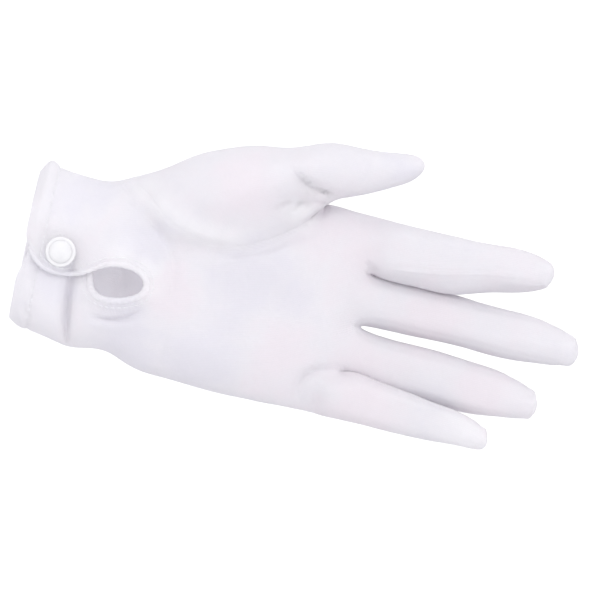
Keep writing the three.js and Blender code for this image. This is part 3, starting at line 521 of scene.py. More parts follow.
def make_thumb(web):
    """The free part of the thumb. Its rings start on the side that faces the hand."""
    split = sections[SPLIT_SECTION]
    near = [web, split["back"][-1], *split["thumb"], split["seam"]]
    first_free = SPLIT_SECTION - FIRST_THUMB_SECTION + 1
    for index in range(first_free, len(thumb_table) - 1):
        shift = THUMB_UNDERSIDE_SHIFT if index == first_free else 0.0
        far = []
        for degrees in FINGER_STEPS[4:] + FINGER_STEPS[:4]:
            place = on_oval(thumb_table[index], degrees)
            place[0] += shift * (1 - math.cos(math.radians(degrees))) / 2
            far.append(net.point(place))
        net.join(near, far, lambda k: "thumb", THUMB_ANCHOR)
        near = far
    net.close(near, [thumb_table[-1][axis] for axis in "xyz"], "thumb", THUMB_ANCHOR)


# The smooth surface

def smooth_matrix(count, faces):
    """What takes the net's points to their places on its smooth surface."""
    near = [set() for _ in range(count)]
    matrix = np.zeros((count, count))
    uses = {}
    for corners in faces:
        for k, corner in enumerate(corners):
            near[corner].update((corners[(k + 1) % 4], corners[k - 1]))
            matrix[corner, corners[(k + 2) % 4]] += 1.0
            edge = tuple(sorted((corner, corners[(k + 1) % 4])))
            uses[edge] = uses.get(edge, 0) + 1
    free = neighbours(edge for edge, used in uses.items() if used == 1)
    for point in range(count):
        if point in free:
            matrix[point] = 0.0
            matrix[point, free[point]] = 1.0 / 6.0
            matrix[point, point] = 4.0 / 6.0
            continue
        n = len(near[point])
        matrix[point, list(near[point])] += 4.0
        matrix[point, point] += n * n
        matrix[point] /= n * (n + 5)
    return matrix


def fit_net():
    """Moves the net until its smooth surface runs through the points of the tables."""
    wanted = np.array(net.points)
    matrix = smooth_matrix(len(wanted), net.faces)
    fitted = wanted.copy()
    for _ in range(FIT_ROUNDS):
        fitted += wanted - matrix @ fitted
    return fitted


def add_to_scene(name, data):
    item = bpy.data.objects.new(name, data)
    bpy.context.scene.collection.objects.link(item)
    return item


def add_object(name, verts, faces, uvs=None):
    mesh = bpy.data.meshes.new(name)
    mesh.from_pydata([tuple(v) for v in verts], [], [tuple(int(i) for i in f) for f in faces])
    if uvs is not None:
        layer = mesh.uv_layers.new(name="knit")
        layer.data.foreach_set("uv", np.asarray(uvs, np.float32).ravel())
    mesh.polygons.foreach_set("use_smooth", [True] * len(mesh.polygons))
    mesh.validate()
    mesh.update()
    return add_to_scene(name, mesh)


def read(items, name, width, kind=float):
    values = np.zeros(len(items) * width, kind)
    items.foreach_get(name, values)
    return values.reshape(-1, width)


def mark_sharp(mesh, pairs):
    ends = read(mesh.edges, "vertices", 2, int)
    keys = [np.sort(rows, axis=1) @ (len(mesh.vertices), 1) for rows in (ends, pairs)]
    sharp = mesh.attributes.new("sharp_edge", "BOOLEAN", "EDGE")
    sharp.data.foreach_set("value", np.isin(*keys))


class Surface:
    """The fine outer surface, with the cloth of each face and its corners' places in that cloth."""

    def __init__(self):
        cage = add_object("cage", fit_net(), net.faces, net.knit)
        for _ in CLOTHS:
            cage.data.materials.append(None)
        cage.data.polygons.foreach_set("material_index", net.cloths)
        fine = cage.modifiers.new("fine", "SUBSURF")
        fine.levels = SMOOTH_LEVELS
        fine.boundary_smooth = "ALL"
        fine.uv_smooth = "NONE"
        fine.use_limit_surface = True
        evaluated = cage.evaluated_get(bpy.context.evaluated_depsgraph_get())
        mesh = bpy.data.meshes.new_from_object(evaluated)
        self.points = read(mesh.vertices, "co", 3)
        self.faces = read(mesh.loops, "vertex_index", 1, int).reshape(-1, 4)
        self.knit = read(mesh.uv_layers["knit"].data, "uv", 2).reshape(-1, 4, 2)
        self.cloths = read(mesh.polygons, "material_index", 1, int).ravel()
        bpy.data.objects.remove(cage)
        bpy.data.meshes.remove(mesh)
        self.place = np.zeros((len(self.points), 2))
        self.place[self.faces] = self.knit
        cloths_at = np.zeros((len(self.points), len(CLOTHS)), bool)
        cloths_at[self.faces, self.cloths[:, None]] = True
        self.is_seam = cloths_at.sum(axis=1) > 1

    def slide(self, places, moved):
        """Moves points along the cloth and keeps the knit where it was."""
        is_moved = np.zeros(len(self.points), bool)
        is_moved[moved] = True
        for face in np.flatnonzero(np.any(is_moved[self.faces], axis=1)):
            corners = self.faces[face]
            sides = self.points[corners[[1, 3]]] - self.points[corners[0]]
            steps = self.knit[face][[1, 3]] - self.knit[face][0]
            to_knit = steps.T @ np.linalg.pinv(sides.T)
            self.knit[face] += (places[corners] - self.points[corners]) @ to_knit.T
        self.points = places
        self.place[self.faces] = self.knit

    def normals(self):
        corner = self.points[self.faces]
        across = np.cross(corner[:, 2] - corner[:, 0], corner[:, 3] - corner[:, 1])
        total = np.zeros_like(self.points)
        for k in range(4):
            np.add.at(total, self.faces[:, k], across)
        return unit(total)

    def raise_by(self, heights):
        self.points += self.normals() * heights[:, None]


def boundary_edges(faces):
    """Directed edges that only one of the faces uses."""
    starts = faces.ravel()
    ends = np.roll(faces, -1, axis=1).ravel()
    seen = set(zip(starts.tolist(), ends.tolist()))
    return [(a, b) for a, b in seen if (b, a) not in seen]


# Relief: folds, hems, seams and the small unevenness of knitted cloth

FOLD_STEPS = 32
FOLD_END_SHARE = 0.015
FACING_TURN = (0.15, 0.6)
NARROW_CREASE = 2.7
DRAW_IN_SHARE = 0.55
DRAW_IN_REACH = 3.6 * MM
DRAW_IN_AT_ENDS = 0.35
LEAST_MOVE = 0.02 * MM
SEAM_GROOVE = (0.10 * MM, 0.70 * MM)
SEAM_SHOULDER = (0.12 * MM, 2.0 * MM, 1.2 * MM)
FINGER_SEAM_SHARE = 0.9
FINGER_SEAM_TURN = (88 * MM, 104 * MM)
KEYHOLE_START = 31 * MM
KEYHOLE_RIM = ((1.3 * MM, 0.5 * MM), (3.6 * MM, 1.5 * MM))
KEYHOLE_RIM_TURN = (-6 * MM, 10 * MM)
KEYHOLE_MIDDLE = (41.5 * MM, -9.0 * MM)
HEM_SWELL = 0.40 * MM
HEM_EDGE = (HEM_WIDTH - 0.8 * MM, HEM_WIDTH + 0.2 * MM)
HEM_GROOVE = (0.50 * MM, 0.75 * MM)
HEM_PUCKER = (0.13 * MM, 4.3 * MM, 1.8 * MM)
HEM_PUCKER_DRIFT = (2.2, 2.3)
WALL_TURN = (HEM_WIDTH - 1.0 * MM, HEM_WIDTH + 1.5 * MM)
UNEVENNESS = ((0.22 * MM, 70.0), (0.09 * MM, 170.0))


def bell(gap, width):
    return np.exp(-(gap / width) ** 2)


def facing(normals, side):
    """How far the surface faces the palm side, -1, or the back, +1."""
    return smoothstep(side * normals[:, 1], *FACING_TURN)


def fold_curve(fold):
    a, b, c = (np.array(place) * MM for place in fold[:3])
    handle = 2 * b - (a + c) / 2
    share = np.linspace(0, 1, FOLD_STEPS + 1)[:, None]
    return (1 - share) ** 2 * a + 2 * share * (1 - share) * handle + share ** 2 * c


def fold_heights(points, fold):
    curve, width, height = fold_curve(fold), fold[3] * MM, fold[4] * MM
    heights = np.zeros(len(points))
    flat = points[:, [0, 2]]
    reach = 3 * width
    inside = np.all((flat > curve.min(0) - reach) & (flat < curve.max(0) + reach), axis=1)
    if inside.any():
        gaps = np.linalg.norm(flat[inside][:, None] - curve[None], axis=2)
        along = np.clip(gaps.argmin(1) / FOLD_STEPS, FOLD_END_SHARE, 1 - FOLD_END_SHARE)
        heights[inside] = height * np.sqrt(np.sin(math.pi * along)) * bell(gaps.min(1), width)
    return heights


def draw_in(surface, folds):
    """Slides the fine net towards narrow creases, so that it is dense enough to show them."""
    normals = surface.normals()
    share = facing(normals, -1) * np.where(surface.is_seam, 0.0, 1.0)
    share[np.unique(boundary_edges(surface.faces))] = 0.0
    tree = BVHTree.FromPolygons(surface.points.tolist(), surface.faces.tolist())
    moves = np.zeros_like(surface.points)
    rows = np.arange(len(moves))
    for fold in folds.values():
        if fold[3] > NARROW_CREASE or fold[4] > 0:
            continue
        away = surface.points[:, None, [0, 2]] - fold_curve(fold)[None]
        gaps = np.linalg.norm(away, axis=2)
        near = gaps.argmin(1)
        pull = DRAW_IN_SHARE * bell(gaps[rows, near], DRAW_IN_REACH) * share
        pull *= np.where((near > 0) & (near < FOLD_STEPS), 1.0, DRAW_IN_AT_ENDS)
        moves[:, [0, 2]] -= away[rows, near] * pull[:, None]
    moves -= normals * np.sum(moves * normals, axis=1, keepdims=True)
    moved = np.flatnonzero(np.linalg.norm(moves, axis=1) > LEAST_MOVE)
    places = surface.points.copy()
    for i in moved:
        places[i] = tree.find_nearest(Vector(surface.points[i] + moves[i]))[0]
    surface.slide(places, moved)


def add_folds(surface, folds, side):
    share = facing(surface.normals(), side)
    total = sum(fold_heights(surface.points, fold) for fold in folds.values())
    surface.points[:, 1] += side * total * share


def joint_folds(side):
    """Two faint creases across each joint, bent a little towards the fingertip on the back."""
    folds = {}
    for k, (x, z, half) in enumerate(JOINT_CREASES):
        for step, height in enumerate(JOINT_CREASE_HEIGHTS):
            near = x + step * JOINT_CREASE_STEP
            ends = ((near, z - half), (near + side * JOINT_CREASE_BEND, z), (near, z + half))
            folds[f"joint {k} {step}"] = (*ends, JOINT_CREASE_WIDTH, height)
    return folds


def add_seams(surface):
    """A fine groove and soft shoulders along every seam between two cloths."""
    starts, ends = surface.faces.ravel(), np.roll(surface.faces, -1, axis=1).ravel()
    sewn = surface.is_seam[starts] & surface.is_seam[ends]
    a, b = surface.points[starts[sewn]], surface.points[ends[sewn]]
    gap = nearest_gaps(surface.points, np.concatenate([mix(a, b, share) for share in (0.0, 0.25, 0.5)]))
    depth, width = SEAM_GROOVE
    height, place, spread = SEAM_SHOULDER
    relief = height * bell(gap - place, spread) - depth * bell(gap, width)
    on_fingers = smoothstep(surface.points[:, 0], *FINGER_SEAM_TURN)
    surface.raise_by(relief * mix(1.0, FINGER_SEAM_SHARE, on_fingers))


def vent_path(surface):
    """The vent's open edge, along the flap and round the keyhole, and all open edges."""
    edges = boundary_edges(surface.faces)
    free = neighbours(edges)
    start, end = sections[0]["flap"], sections[KEYHOLE_FIRST]["under"]
    aim = surface.points[sections[1]["flap"]]
    path = [start, min(free[start], key=lambda v: np.linalg.norm(surface.points[v] - aim))]
    while path[-1] != end:
        path.append(next(v for v in free[path[-1]] if v != path[-2]))
    return path, edges


def add_keyhole_rim(surface):
    """Puffs the cloth round the keyhole, more at its top and on the fingers' side than below."""
    path, _ = vent_path(surface)
    gap = nearest_gaps(surface.points, [p for p in surface.points[path] if p[0] > KEYHOLE_START])
    x, z = surface.points[:, 0] - KEYHOLE_MIDDLE[0], surface.points[:, 2] - KEYHOLE_MIDDLE[1]
    wide = smoothstep(x + z, *KEYHOLE_RIM_TURN)
    width, height = (mix(low, high, wide) for low, high in zip(*KEYHOLE_RIM))
    surface.points[:, 1] -= height * bell(gap, width) * facing(surface.normals(), -1)


def add_hem(surface):
    """Swells the turned hem, sinks its stitch line and puckers the cloth along it."""
    x, around = surface.points[:, 0], surface.place[:, 1]
    depth, width = HEM_GROOVE
    height, pitch, spread = HEM_PUCKER
    sway, stretch = HEM_PUCKER_DRIFT
    swell = HEM_SWELL * (1 - smoothstep(x, *HEM_EDGE))
    waves = np.sin(2 * math.pi * around / pitch + sway * np.sin(around / (stretch * pitch)))
    pucker = height * waves * bell(x - HEM_WIDTH, spread)
    surface.raise_by(swell - depth * bell(x - HEM_WIDTH, width) + pucker)


def add_unevenness(surface):
    relief = np.zeros(len(surface.points))
    for height, scale in UNEVENNESS:
        relief += [height * noise.noise(Vector(point * scale)) for point in surface.points]
    surface.raise_by(relief)


# Cloth pieces

RIM_STEPS = 4
OPEN_RIM_ROLL = 0.5
SEAM_SETBACK = 0.006 * MM


def edge_directions(points, normals, edges):
    """At each point of an open edge, the way along the surface into the cloth."""
    across = np.zeros_like(points)
    for a, b in edges:
        way = np.cross((normals[a] + normals[b]) / 2, points[b] - points[a])
        across[a] += way
        across[b] += way
    return unit(across)


def cloth_piece(surface, normals, cloth):
    """One cloth with its inner side and its rims, which are rolled where open and flat along seams."""
    mine = surface.cloths == CLOTHS.index(cloth)
    used, faces = np.unique(surface.faces[mine], return_inverse=True)
    faces = faces.reshape(-1, 4)
    knit, place = surface.knit[mine], surface.place[used]
    points, normal = surface.points[used], normals[used]
    count = len(points)
    edges = boundary_edges(faces)
    across = edge_directions(points, normal, edges)
    rim = np.unique(edges)
    seam = np.zeros(count, bool)
    seam[rim] = surface.is_seam[used[rim]]
    points = points + across * np.where(seam, SEAM_SETBACK, 0.0)[:, None]
    wall = mix(HEM_WALL, CLOTH_WALL, smoothstep(points[:, :1], *WALL_TURN))
    roll = np.where(seam[rim], 0.0, OPEN_RIM_ROLL)[:, None] * wall[rim]
    row_of = np.zeros(count, int)
    row_of[rim] = np.arange(len(rim))
    verts, places = [points, points - normal * wall], [place, place]
    levels = [np.arange(count)]
    for step in range(1, RIM_STEPS):
        angle = math.pi * step / RIM_STEPS
        depth = wall[rim] * (1 - math.cos(angle)) / 2
        verts.append(points[rim] - normal[rim] * depth - across[rim] * roll * math.sin(angle))
        places.append(place[rim])
        levels.append(2 * count + (step - 1) * len(rim) + row_of)
    levels.append(count + levels[0])
    rim_faces = np.array([(upper[b], upper[a], lower[a], lower[b])
                          for a, b in edges for upper, lower in zip(levels, levels[1:])])
    all_faces = np.concatenate((faces, faces[:, ::-1] + count, rim_faces))
    uvs = np.concatenate((knit, knit[:, ::-1], np.concatenate(places)[rim_faces]))
    piece = add_object(f"{cloth}_cloth", np.concatenate(verts), all_faces, uvs)
    sewn = np.array([(a, b) for a, b in edges if seam[a] and seam[b]])
    mark_sharp(piece.data, np.concatenate((sewn, sewn + count)))
    return piece


# Polylines on the cloth

def resampled(points, step):
    """Rows at even steps along a path whose first three columns are its places."""
    along = lengths_along(points[:, :3])
    wanted = np.linspace(0, along[-1], max(int(round(along[-1] / step)), 1) + 1)
    return np.stack([np.interp(wanted, along, points[:, k]) for k in range(points.shape[1])], axis=1)


def relaxed(points, rounds):
    points = np.array(points)
    for _ in range(rounds):
        points[1:-1] = (points[:-2] + 2 * points[1:-1] + points[2:]) / 4
    return points


def tangents_of(points):
    return unit(np.gradient(points, axis=0))


# The rolled binding of the vent, along the flap, round the keyhole and under the flap again

BINDING_FLAP_RADIUS = 1.05 * MM
BINDING_RADIUS = 1.60 * MM
BINDING_SWELLS = (0.33, 0.60)
BINDING_STEP = 0.45 * MM
BINDING_SIDES = 14
BINDING_PINCH = (0.05, 2.6 * MM)
BINDING_DRIFT = (0.10, 260.0, 3.1)
BINDING_FLATNESS = 0.85
BINDING_RISE = 0.35 * MM
BINDING_OVERHANG = 0.70
BINDING_ROUNDS = 6


def add_tube(name, centres, normals, wide, thick, sides):
    """A closed tube along centres. wide is its radius along the cloth, thick its radius along normals."""
    tangents = tangents_of(centres)
    beside = unit(np.cross(tangents, normals))
    upright = np.cross(beside, tangents)
    verts = [centres[0] - tangents[0] * wide[0] / 2, centres[-1] + tangents[-1] * wide[-1] / 2]
    for angle in 2 * math.pi * np.arange(sides) / sides:
        across = beside * (wide * math.cos(angle))[:, None]
        verts += [*(centres + across + upright * (thick * math.sin(angle))[:, None])]
    rows = (2 + np.arange(len(verts) - 2)).reshape(sides, -1).T.tolist()
    along = lengths_along(centres)
    no_knit = [(0.0, 0.0)] * 3 * sides
    uvs = list(no_knit)
    for row in range(len(centres) - 1):
        for k in range(sides):
            start, end = (2 * math.pi * wide[row] * share / sides for share in (k, k + 1))
            uvs += [(along[row], start), (along[row + 1], start), (along[row + 1], end), (along[row], end)]
    return add_object(name, verts, bands([[0] * sides, *rows, [1] * sides]), uvs + no_knit)


def make_binding(surface, normals):
    """Starts one point past the flap's corner, so that its end stays off the cuff's mouth."""
    path, edges = vent_path(surface)
    path = path[1:]
    across = edge_directions(surface.points, normals, edges)
    share = np.linspace(0, 1, len(path))
    radius = mix(BINDING_FLAP_RADIUS, BINDING_RADIUS, smoothstep(share, *BINDING_SWELLS))[:, None]
    sink = np.maximum(CLOTH_WALL / 2, radius * BINDING_FLATNESS - BINDING_RISE)
    centres = surface.points[path] - across[path] * radius * BINDING_OVERHANG - normals[path] * sink
    rows = np.concatenate((relaxed(centres, BINDING_ROUNDS), normals[path], radius), axis=1)
    rows = resampled(rows, BINDING_STEP)
    depth, pitch = BINDING_PINCH
    drift, scale, line = BINDING_DRIFT
    along = np.arange(len(rows)) * BINDING_STEP
    wander = np.array([noise.noise(Vector((x * scale, line, 0.0))) for x in along])
    radius = rows[:, 6] * (1 + depth * np.cos(2 * math.pi * along / pitch) + drift * wander)
    sizes = (radius, radius * BINDING_FLATNESS, BINDING_SIDES)
    return add_tube("vent_binding", rows[:, :3], unit(rows[:, 3:6]), *sizes)


# Stitches

STITCH_RADIUS = 0.17 * MM
STITCH_LENGTH = 2.1 * MM
STITCH_PITCH = 2.55 * MM
STITCH_SIDES = 6
STITCH_ROWS = 6
STITCH_SINK = 0.10 * MM + 0.6 * STITCH_RADIUS
STITCH_ARCH = (1.9 * STITCH_RADIUS, 0.6)
STITCH_TAPER = (0.55, 0.5)
HEM_RAYS = 240
HEM_REACH = 80 * MM
LARGEST_STITCH_GAP = 4.0 * MM
VENT_STITCH_INSET = 1.7 * MM
VENT_STITCH_ROUNDS = 4


def stitch(centre, along, up):
    """One short thread that arches out of the cloth and dips back in at both ends."""
    beside = np.cross(along, up)
    height, bow = STITCH_ARCH
    thin, swell = STITCH_TAPER
    verts = []
    for row in range(STITCH_ROWS + 1):
        share = row / STITCH_ROWS
        arch = math.sin(math.pi * share)
        place = centre + along * STITCH_LENGTH * (share - 0.5)
        place = place + up * (height * arch ** bow - STITCH_SINK)
        radius = STITCH_RADIUS * (thin + (1 - thin) * arch ** swell)
        for k in range(STITCH_SIDES):
            angle = 2 * math.pi * k / STITCH_SIDES
            verts.append(place + beside * radius * math.cos(angle) + up * radius * math.sin(angle))
    rows = np.arange(len(verts)).reshape(-1, STITCH_SIDES).tolist()
    return verts, [*bands(rows), tuple(rows[0]), tuple(reversed(rows[-1]))]


def add_stitches(name, lines):
    """Stitches along each line, which is a polyline of places and normals on the cloth."""
    verts, faces = [], []
    for places, normals in lines:
        rows = resampled(np.concatenate((places, normals), axis=1), STITCH_PITCH)
        tangents = tangents_of(rows[:, :3])
        for row, along in zip(rows[:-1], tangents[:-1]):
            up = unit(row[3:])
            along = unit(along - up * np.dot(along, up))
            more_verts, more_faces = stitch(row[:3], along, up)
            faces += [tuple(len(verts) + i for i in face) for face in more_faces]
            verts += more_verts
    return add_object(name, verts, faces)


def hem_lines(tree):
    """The hem's stitch lines: where rays from outside towards the glove's middle first meet the cloth."""
    places, normals = [], []
    for k in range(HEM_RAYS + 1):
        angle = 2 * math.pi * k / HEM_RAYS
        way = Vector((0.0, -math.sin(angle), math.cos(angle)))
        place, normal, _, _ = tree.ray_cast(Vector((HEM_WIDTH, 0.0, 0.0)) + way * HEM_REACH, -way)
        if place is not None:
            places.append(tuple(place))
            normals.append(tuple(normal))
    gaps = np.linalg.norm(np.diff(places, axis=0), axis=1)
    cuts = np.flatnonzero(gaps > LARGEST_STITCH_GAP) + 1
    lines = zip(np.split(np.array(places), cuts), np.split(np.array(normals), cuts))
    return [line for line in lines if len(line[0]) > 3]


def vent_line(surface, normals, tree):
    path, edges = vent_path(surface)
    across = edge_directions(surface.points, normals, edges)
    wanted = relaxed(surface.points[path] + across[path] * VENT_STITCH_INSET, VENT_STITCH_ROUNDS)
    return np.array([tuple(tree.find_nearest(Vector(point))[0]) for point in wanted]), normals[path]


# The snap, turned round an axis that points out of the palm

SNAP_SEGMENTS = 96
CAP_RIM_SHARE = 0.30
CAP_ROUNDINGS = {"edge": 0.55 * MM, "foot": 0.20 * MM, "groove": 0.11 * MM}
CAP_STEPS = {"foot": 5, "edge": 6, "groove": 4, "dome": 18}
CAP_DOME_SHARE = 0.76
CAP_DOME_BULGE = 0.9
STUD_SEGMENTS = 48
STUD_FOOT = 0.55 * MM
STUD_FLANGE = (0.30 * MM, 0.90 * MM, 0.95 * MM)
STUD_POST_SHARE = 0.4
SEAT_REACH = (-0.3 * MM, 4.5 * MM)
SEAT_GAP = 0.12 * MM
SEAT_FACING = -0.4


def turned(name, profile, centre, segments):
    """A turned body. The profile is pairs of radius and height, and starts on the axis."""
    verts, rows = [], []
    for radius, height in profile:
        if radius == 0:
            rows.append([len(verts)] * segments)
            verts.append((centre[0], centre[1] - height, centre[2]))
            continue
        rows.append(list(range(len(verts), len(verts) + segments)))
        for k in range(segments):
            angle = 2 * math.pi * k / segments
            place = (radius * math.cos(angle), -height, radius * math.sin(angle))
            verts.append([middle + away for middle, away in zip(centre, place)])
    # Each face starts on its lower ring, which sets the diagonal that splits it.
    faces = [face[1:] + face[:1] for face in bands(rows[::-1])]
    return add_object(name, verts, faces)


def turned_sizes(low, high):
    """The middle of a turned piece's back, its radius and its height out of the palm."""
    centre = ((low.x + high.x) / 2, high.y, (low.z + high.z) / 2)
    return centre, (high.x - low.x) / 2, high.y - low.y


def arc(centre, radius, start, end, steps):
    angles = [math.radians(mix(start, end, k / steps)) for k in range(steps + 1)]
    return [(centre[0] + radius * math.cos(a), centre[1] + radius * math.sin(a)) for a in angles]


def dome(radius, foot, top, steps):
    """From the foot of a dome to its top on the axis."""
    angles = [math.radians(90 * k / steps) for k in range(steps)]
    points = [(radius * math.cos(a), foot + (top - foot) * math.sin(a) ** CAP_DOME_BULGE) for a in angles]
    return [*points, (0, top)]


def make_cap():
    centre, radius, height = turned_sizes(*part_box("button_cap"))
    rim = CAP_RIM_SHARE * height
    edge, foot, groove = CAP_ROUNDINGS.values()
    dome_radius = CAP_DOME_SHARE * radius
    profile = [(0, 0)]
    profile += arc((radius - foot, foot), foot, -90, 0, CAP_STEPS["foot"])
    profile += arc((radius - edge, rim - edge), edge, 0, 90, CAP_STEPS["edge"])
    profile += arc((dome_radius + groove, rim - groove), groove, 90, 180, CAP_STEPS["groove"])
    profile += dome(dome_radius, rim - groove, height, CAP_STEPS["dome"])
    return turned("button_cap_finished", profile, centre, SNAP_SEGMENTS)


def make_stud():
    centre, flange, height = turned_sizes(*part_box("snap_stud"))
    post = STUD_POST_SHARE * flange
    low, high, top = STUD_FLANGE
    profile = [(0, 0), (flange - STUD_FOOT, 0), (flange, low), (flange, high), (post, top), (post, height)]
    return turned("snap_stud_finished", [*profile, (0, height)], centre, STUD_SEGMENTS)


def seat_snap(surface):
    """Presses the flap flat under the cap."""
    centre, radius, _ = turned_sizes(*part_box("button_cap"))
    y = surface.points[:, 1]
    gap = np.linalg.norm(surface.points[:, [0, 2]] - (centre[0], centre[2]), axis=1)
    share = 1 - smoothstep(gap, radius + SEAT_REACH[0], radius + SEAT_REACH[1])
    on_flap = (surface.normals()[:, 1] < SEAT_FACING) & (y < centre[1] + UNDERLAP_DEPTH / 2)
    surface.points[:, 1] = np.where(on_flap, mix(y, centre[1] + SEAT_GAP, share), y)


# Materials

class Shader:
    """Short calls for building the nodes of a material or of the world."""

    def __init__(self, owner, surface="Principled BSDF"):
        owner.use_nodes = True
        self.owner = owner
        self.tree = owner.node_tree
        self.surface = self.tree.nodes[surface]

    def feed(self, socket, value):
        if isinstance(value, bpy.types.NodeSocket):
            self.tree.links.new(value, socket)
        else:
            socket.default_value = value

    def node(self, kind, inputs=None, **settings):
        """Makes a node, sets it up, feeds its inputs by name or number, and returns its outputs."""
        made = self.tree.nodes.new(kind)
        for key, value in settings.items():
            setattr(made, key, value)
        for key, value in (inputs or {}).items():
            self.feed(made.inputs[key], value)
        return made.outputs

    def set(self, **values):
        for key, value in values.items():
            self.feed(self.surface.inputs[key.replace("_", " ")], value)

    def math(self, operation, a, b=0.0):
        return self.node("ShaderNodeMath", {0: a, 1: b}, operation=operation)[0]

    def vector(self, operation, *values):
        return self.node("ShaderNodeVectorMath", dict(enumerate(values)), operation=operation)

    def split(self, vector):
        return self.node("ShaderNodeSeparateXYZ", {0: vector})

    def place(self):
        return self.node("ShaderNodeTexCoord")["Object"]

    def clouds(self, scale, detail=2.0, roughness=0.5):
        inputs = {"Vector": self.place(), "Scale": scale, "Detail": detail, "Roughness": roughness}
        return self.node("ShaderNodeTexNoise", inputs)

    def noise(self, *sizes):
        return self.clouds(*sizes)["Fac"]

    def ramp(self, value, *stops):
        made = self.tree.nodes.new("ShaderNodeValToRGB")
        self.feed(made.inputs["Fac"], value)
        elements = made.color_ramp.elements
        while len(elements) < len(stops):
            elements.new(0.5)
        for element, (position, color) in zip(elements, stops):
            element.position = position
            element.color = (*color, 1.0)
        return made.outputs["Color"]

    def blend_colors(self, kind, share, a, b):
        inputs = {"Factor": share, "A": a, "B": b}
        return self.node("ShaderNodeMix", inputs, data_type="RGBA", blend_type=kind)["Result"]

    def span(self, value, low, high):
        return self.node("ShaderNodeMapRange", {"Value": value, "To Min": low, "To Max": high})["Result"]

    def bump(self, height, strength, distance, **under):
        inputs = {"Height": height, "Strength": strength, "Distance": distance, **under}
        return self.node("ShaderNodeBump", inputs)["Normal"]


WALE_PITCH = 0.74 * MM
COURSE_PITCH = 0.56 * MM
COURSE_SLANT = 1.1
KNIT_DRIFT = 0.22 * MM
KNIT_DRIFT_ROUND = 1.3
KNIT_LEGS = 0.28
# The knit's colour is darker where its height is low, which is painted shade in its grooves.
KNIT_SHADE = (0.945, 1.0)
FLECK_SHADE = (0.965, 1.02)
KNIT_RELIEF = 0.16 * MM

# Noises of the cloth: scale, detail and roughness, and the strength and depth of those that are relief.
KNIT_WANDER = (190.0, 2.0, 0.5)
MOTTLING = (150.0, 3.0, 0.6)
FLECKS = (900.0, 2.0, 0.6)
FUZZ = ((2600.0, 3.0, 0.7), 0.35, 0.10 * MM)
PUCKERS = ((240.0, 2.0, 0.5), 0.30, 0.50 * MM)

LIGHT_DEPTH = 0.7 * MM
LIGHT_THROUGH = 0.46
COTTON_THROUGH = (0.93, 0.92, 0.94)
# The first of these colours is a bluish, darker tone that the colour wanders to at random, and that the
# darker patches below use as painted shade.
COTTON_COOL_AND_SHADED = (0.880, 0.870, 0.922)
COTTON_WHITE = (0.918, 0.906, 0.940)
COTTON_WARM = (0.935, 0.888, 0.928)
TINT_AND_SHADE_STOPS = (0.18, 0.48, 0.80)
CLOUD_SCALE = 40.0
PATCH_DRIFT = 14 * MM
PATCH_SHARE = 0.52
CLOUD_SHARE = 0.5
MOTTLING_SHARE = 0.6

# Soft patches where the cloth is a little warmer, and patches that are a little bluer and darker, partly a
# bluish tint and partly painted shade where the glove's shading falls: under the flap, below the keyhole,
# on the thumb's tip and in the palm's hollows. Each is x, z, radius.
WARM_PATCHES = (
    (85, 41, 20), (131, 24, 26), (66, -10, 16), (113, -22, 20),
    (152, -37, 22), (172, 3, 20), (200, -22, 18),
)
COOL_AND_SHADE_PATCHES = (
    (20, 22, 16), (151, 63, 11), (50, -27, 18), (13, -13, 13),
    (52, 12, 18), (99, -2, 28), (83, -31, 24),
)

# Soft patches of painted light, where the palm side's colour is lifted towards white as if lit: the seam
# ridge, round the keyhole, the thumb's web and the little fingertip.
PAINTED_LIGHT_PATCHES = (
    (46, 32.5, 8.5), (53, 26.5, 8.5), (61, 21.5, 8.5), (69, 19, 7.5),
    (77, 18.5, 7.5), (85, 18.5, 7), (42, 4, 9), (53, 0, 8),
    (57, -8, 7), (112, 34.5, 9), (198, -40, 16),
)
PAINTED_LIGHT_SHARE = 0.08


def knit_height(shader):
    """Fine jersey: lengthwise wales of small slanting stitches."""
    calc = shader.math
    knit = shader.split(shader.node("ShaderNodeUVMap", uv_map="knit")["UV"])
    drift = shader.span(shader.noise(*KNIT_WANDER), -KNIT_DRIFT, KNIT_DRIFT)
    along = calc("ADD", knit["X"], drift)
    around = calc("ADD", knit["Y"], calc("MULTIPLY", drift, KNIT_DRIFT_ROUND))
    wale = calc("FRACT", calc("DIVIDE", around, WALE_PITCH))
    off = calc("ABSOLUTE", calc("SUBTRACT", wale, 0.5))
    row = calc("ADD", calc("DIVIDE", along, COURSE_PITCH), calc("MULTIPLY", off, COURSE_SLANT))
    legs = calc("SINE", calc("MULTIPLY", row, 2 * math.pi))
    ridge = calc("SUBTRACT", 1.0, calc("POWER", calc("MULTIPLY", off, 2.0), 3.0))
    return calc("MULTIPLY", ridge, calc("ADD", calc("MULTIPLY", legs, KNIT_LEGS), 1.0 - KNIT_LEGS))


def patch_share(shader, place, patches):
    """How deep a place lies in the nearest of some soft round patches, seen along Y."""
    share = 0.0
    for x, z, radius in patches:
        gap = shader.vector("DISTANCE", place, (x * MM, 0.0, z * MM))["Value"]
        near = shader.math("SUBTRACT", 1.0, shader.math("DIVIDE", gap, radius * MM))
        share = shader.math("MAXIMUM", share, near)
    return share


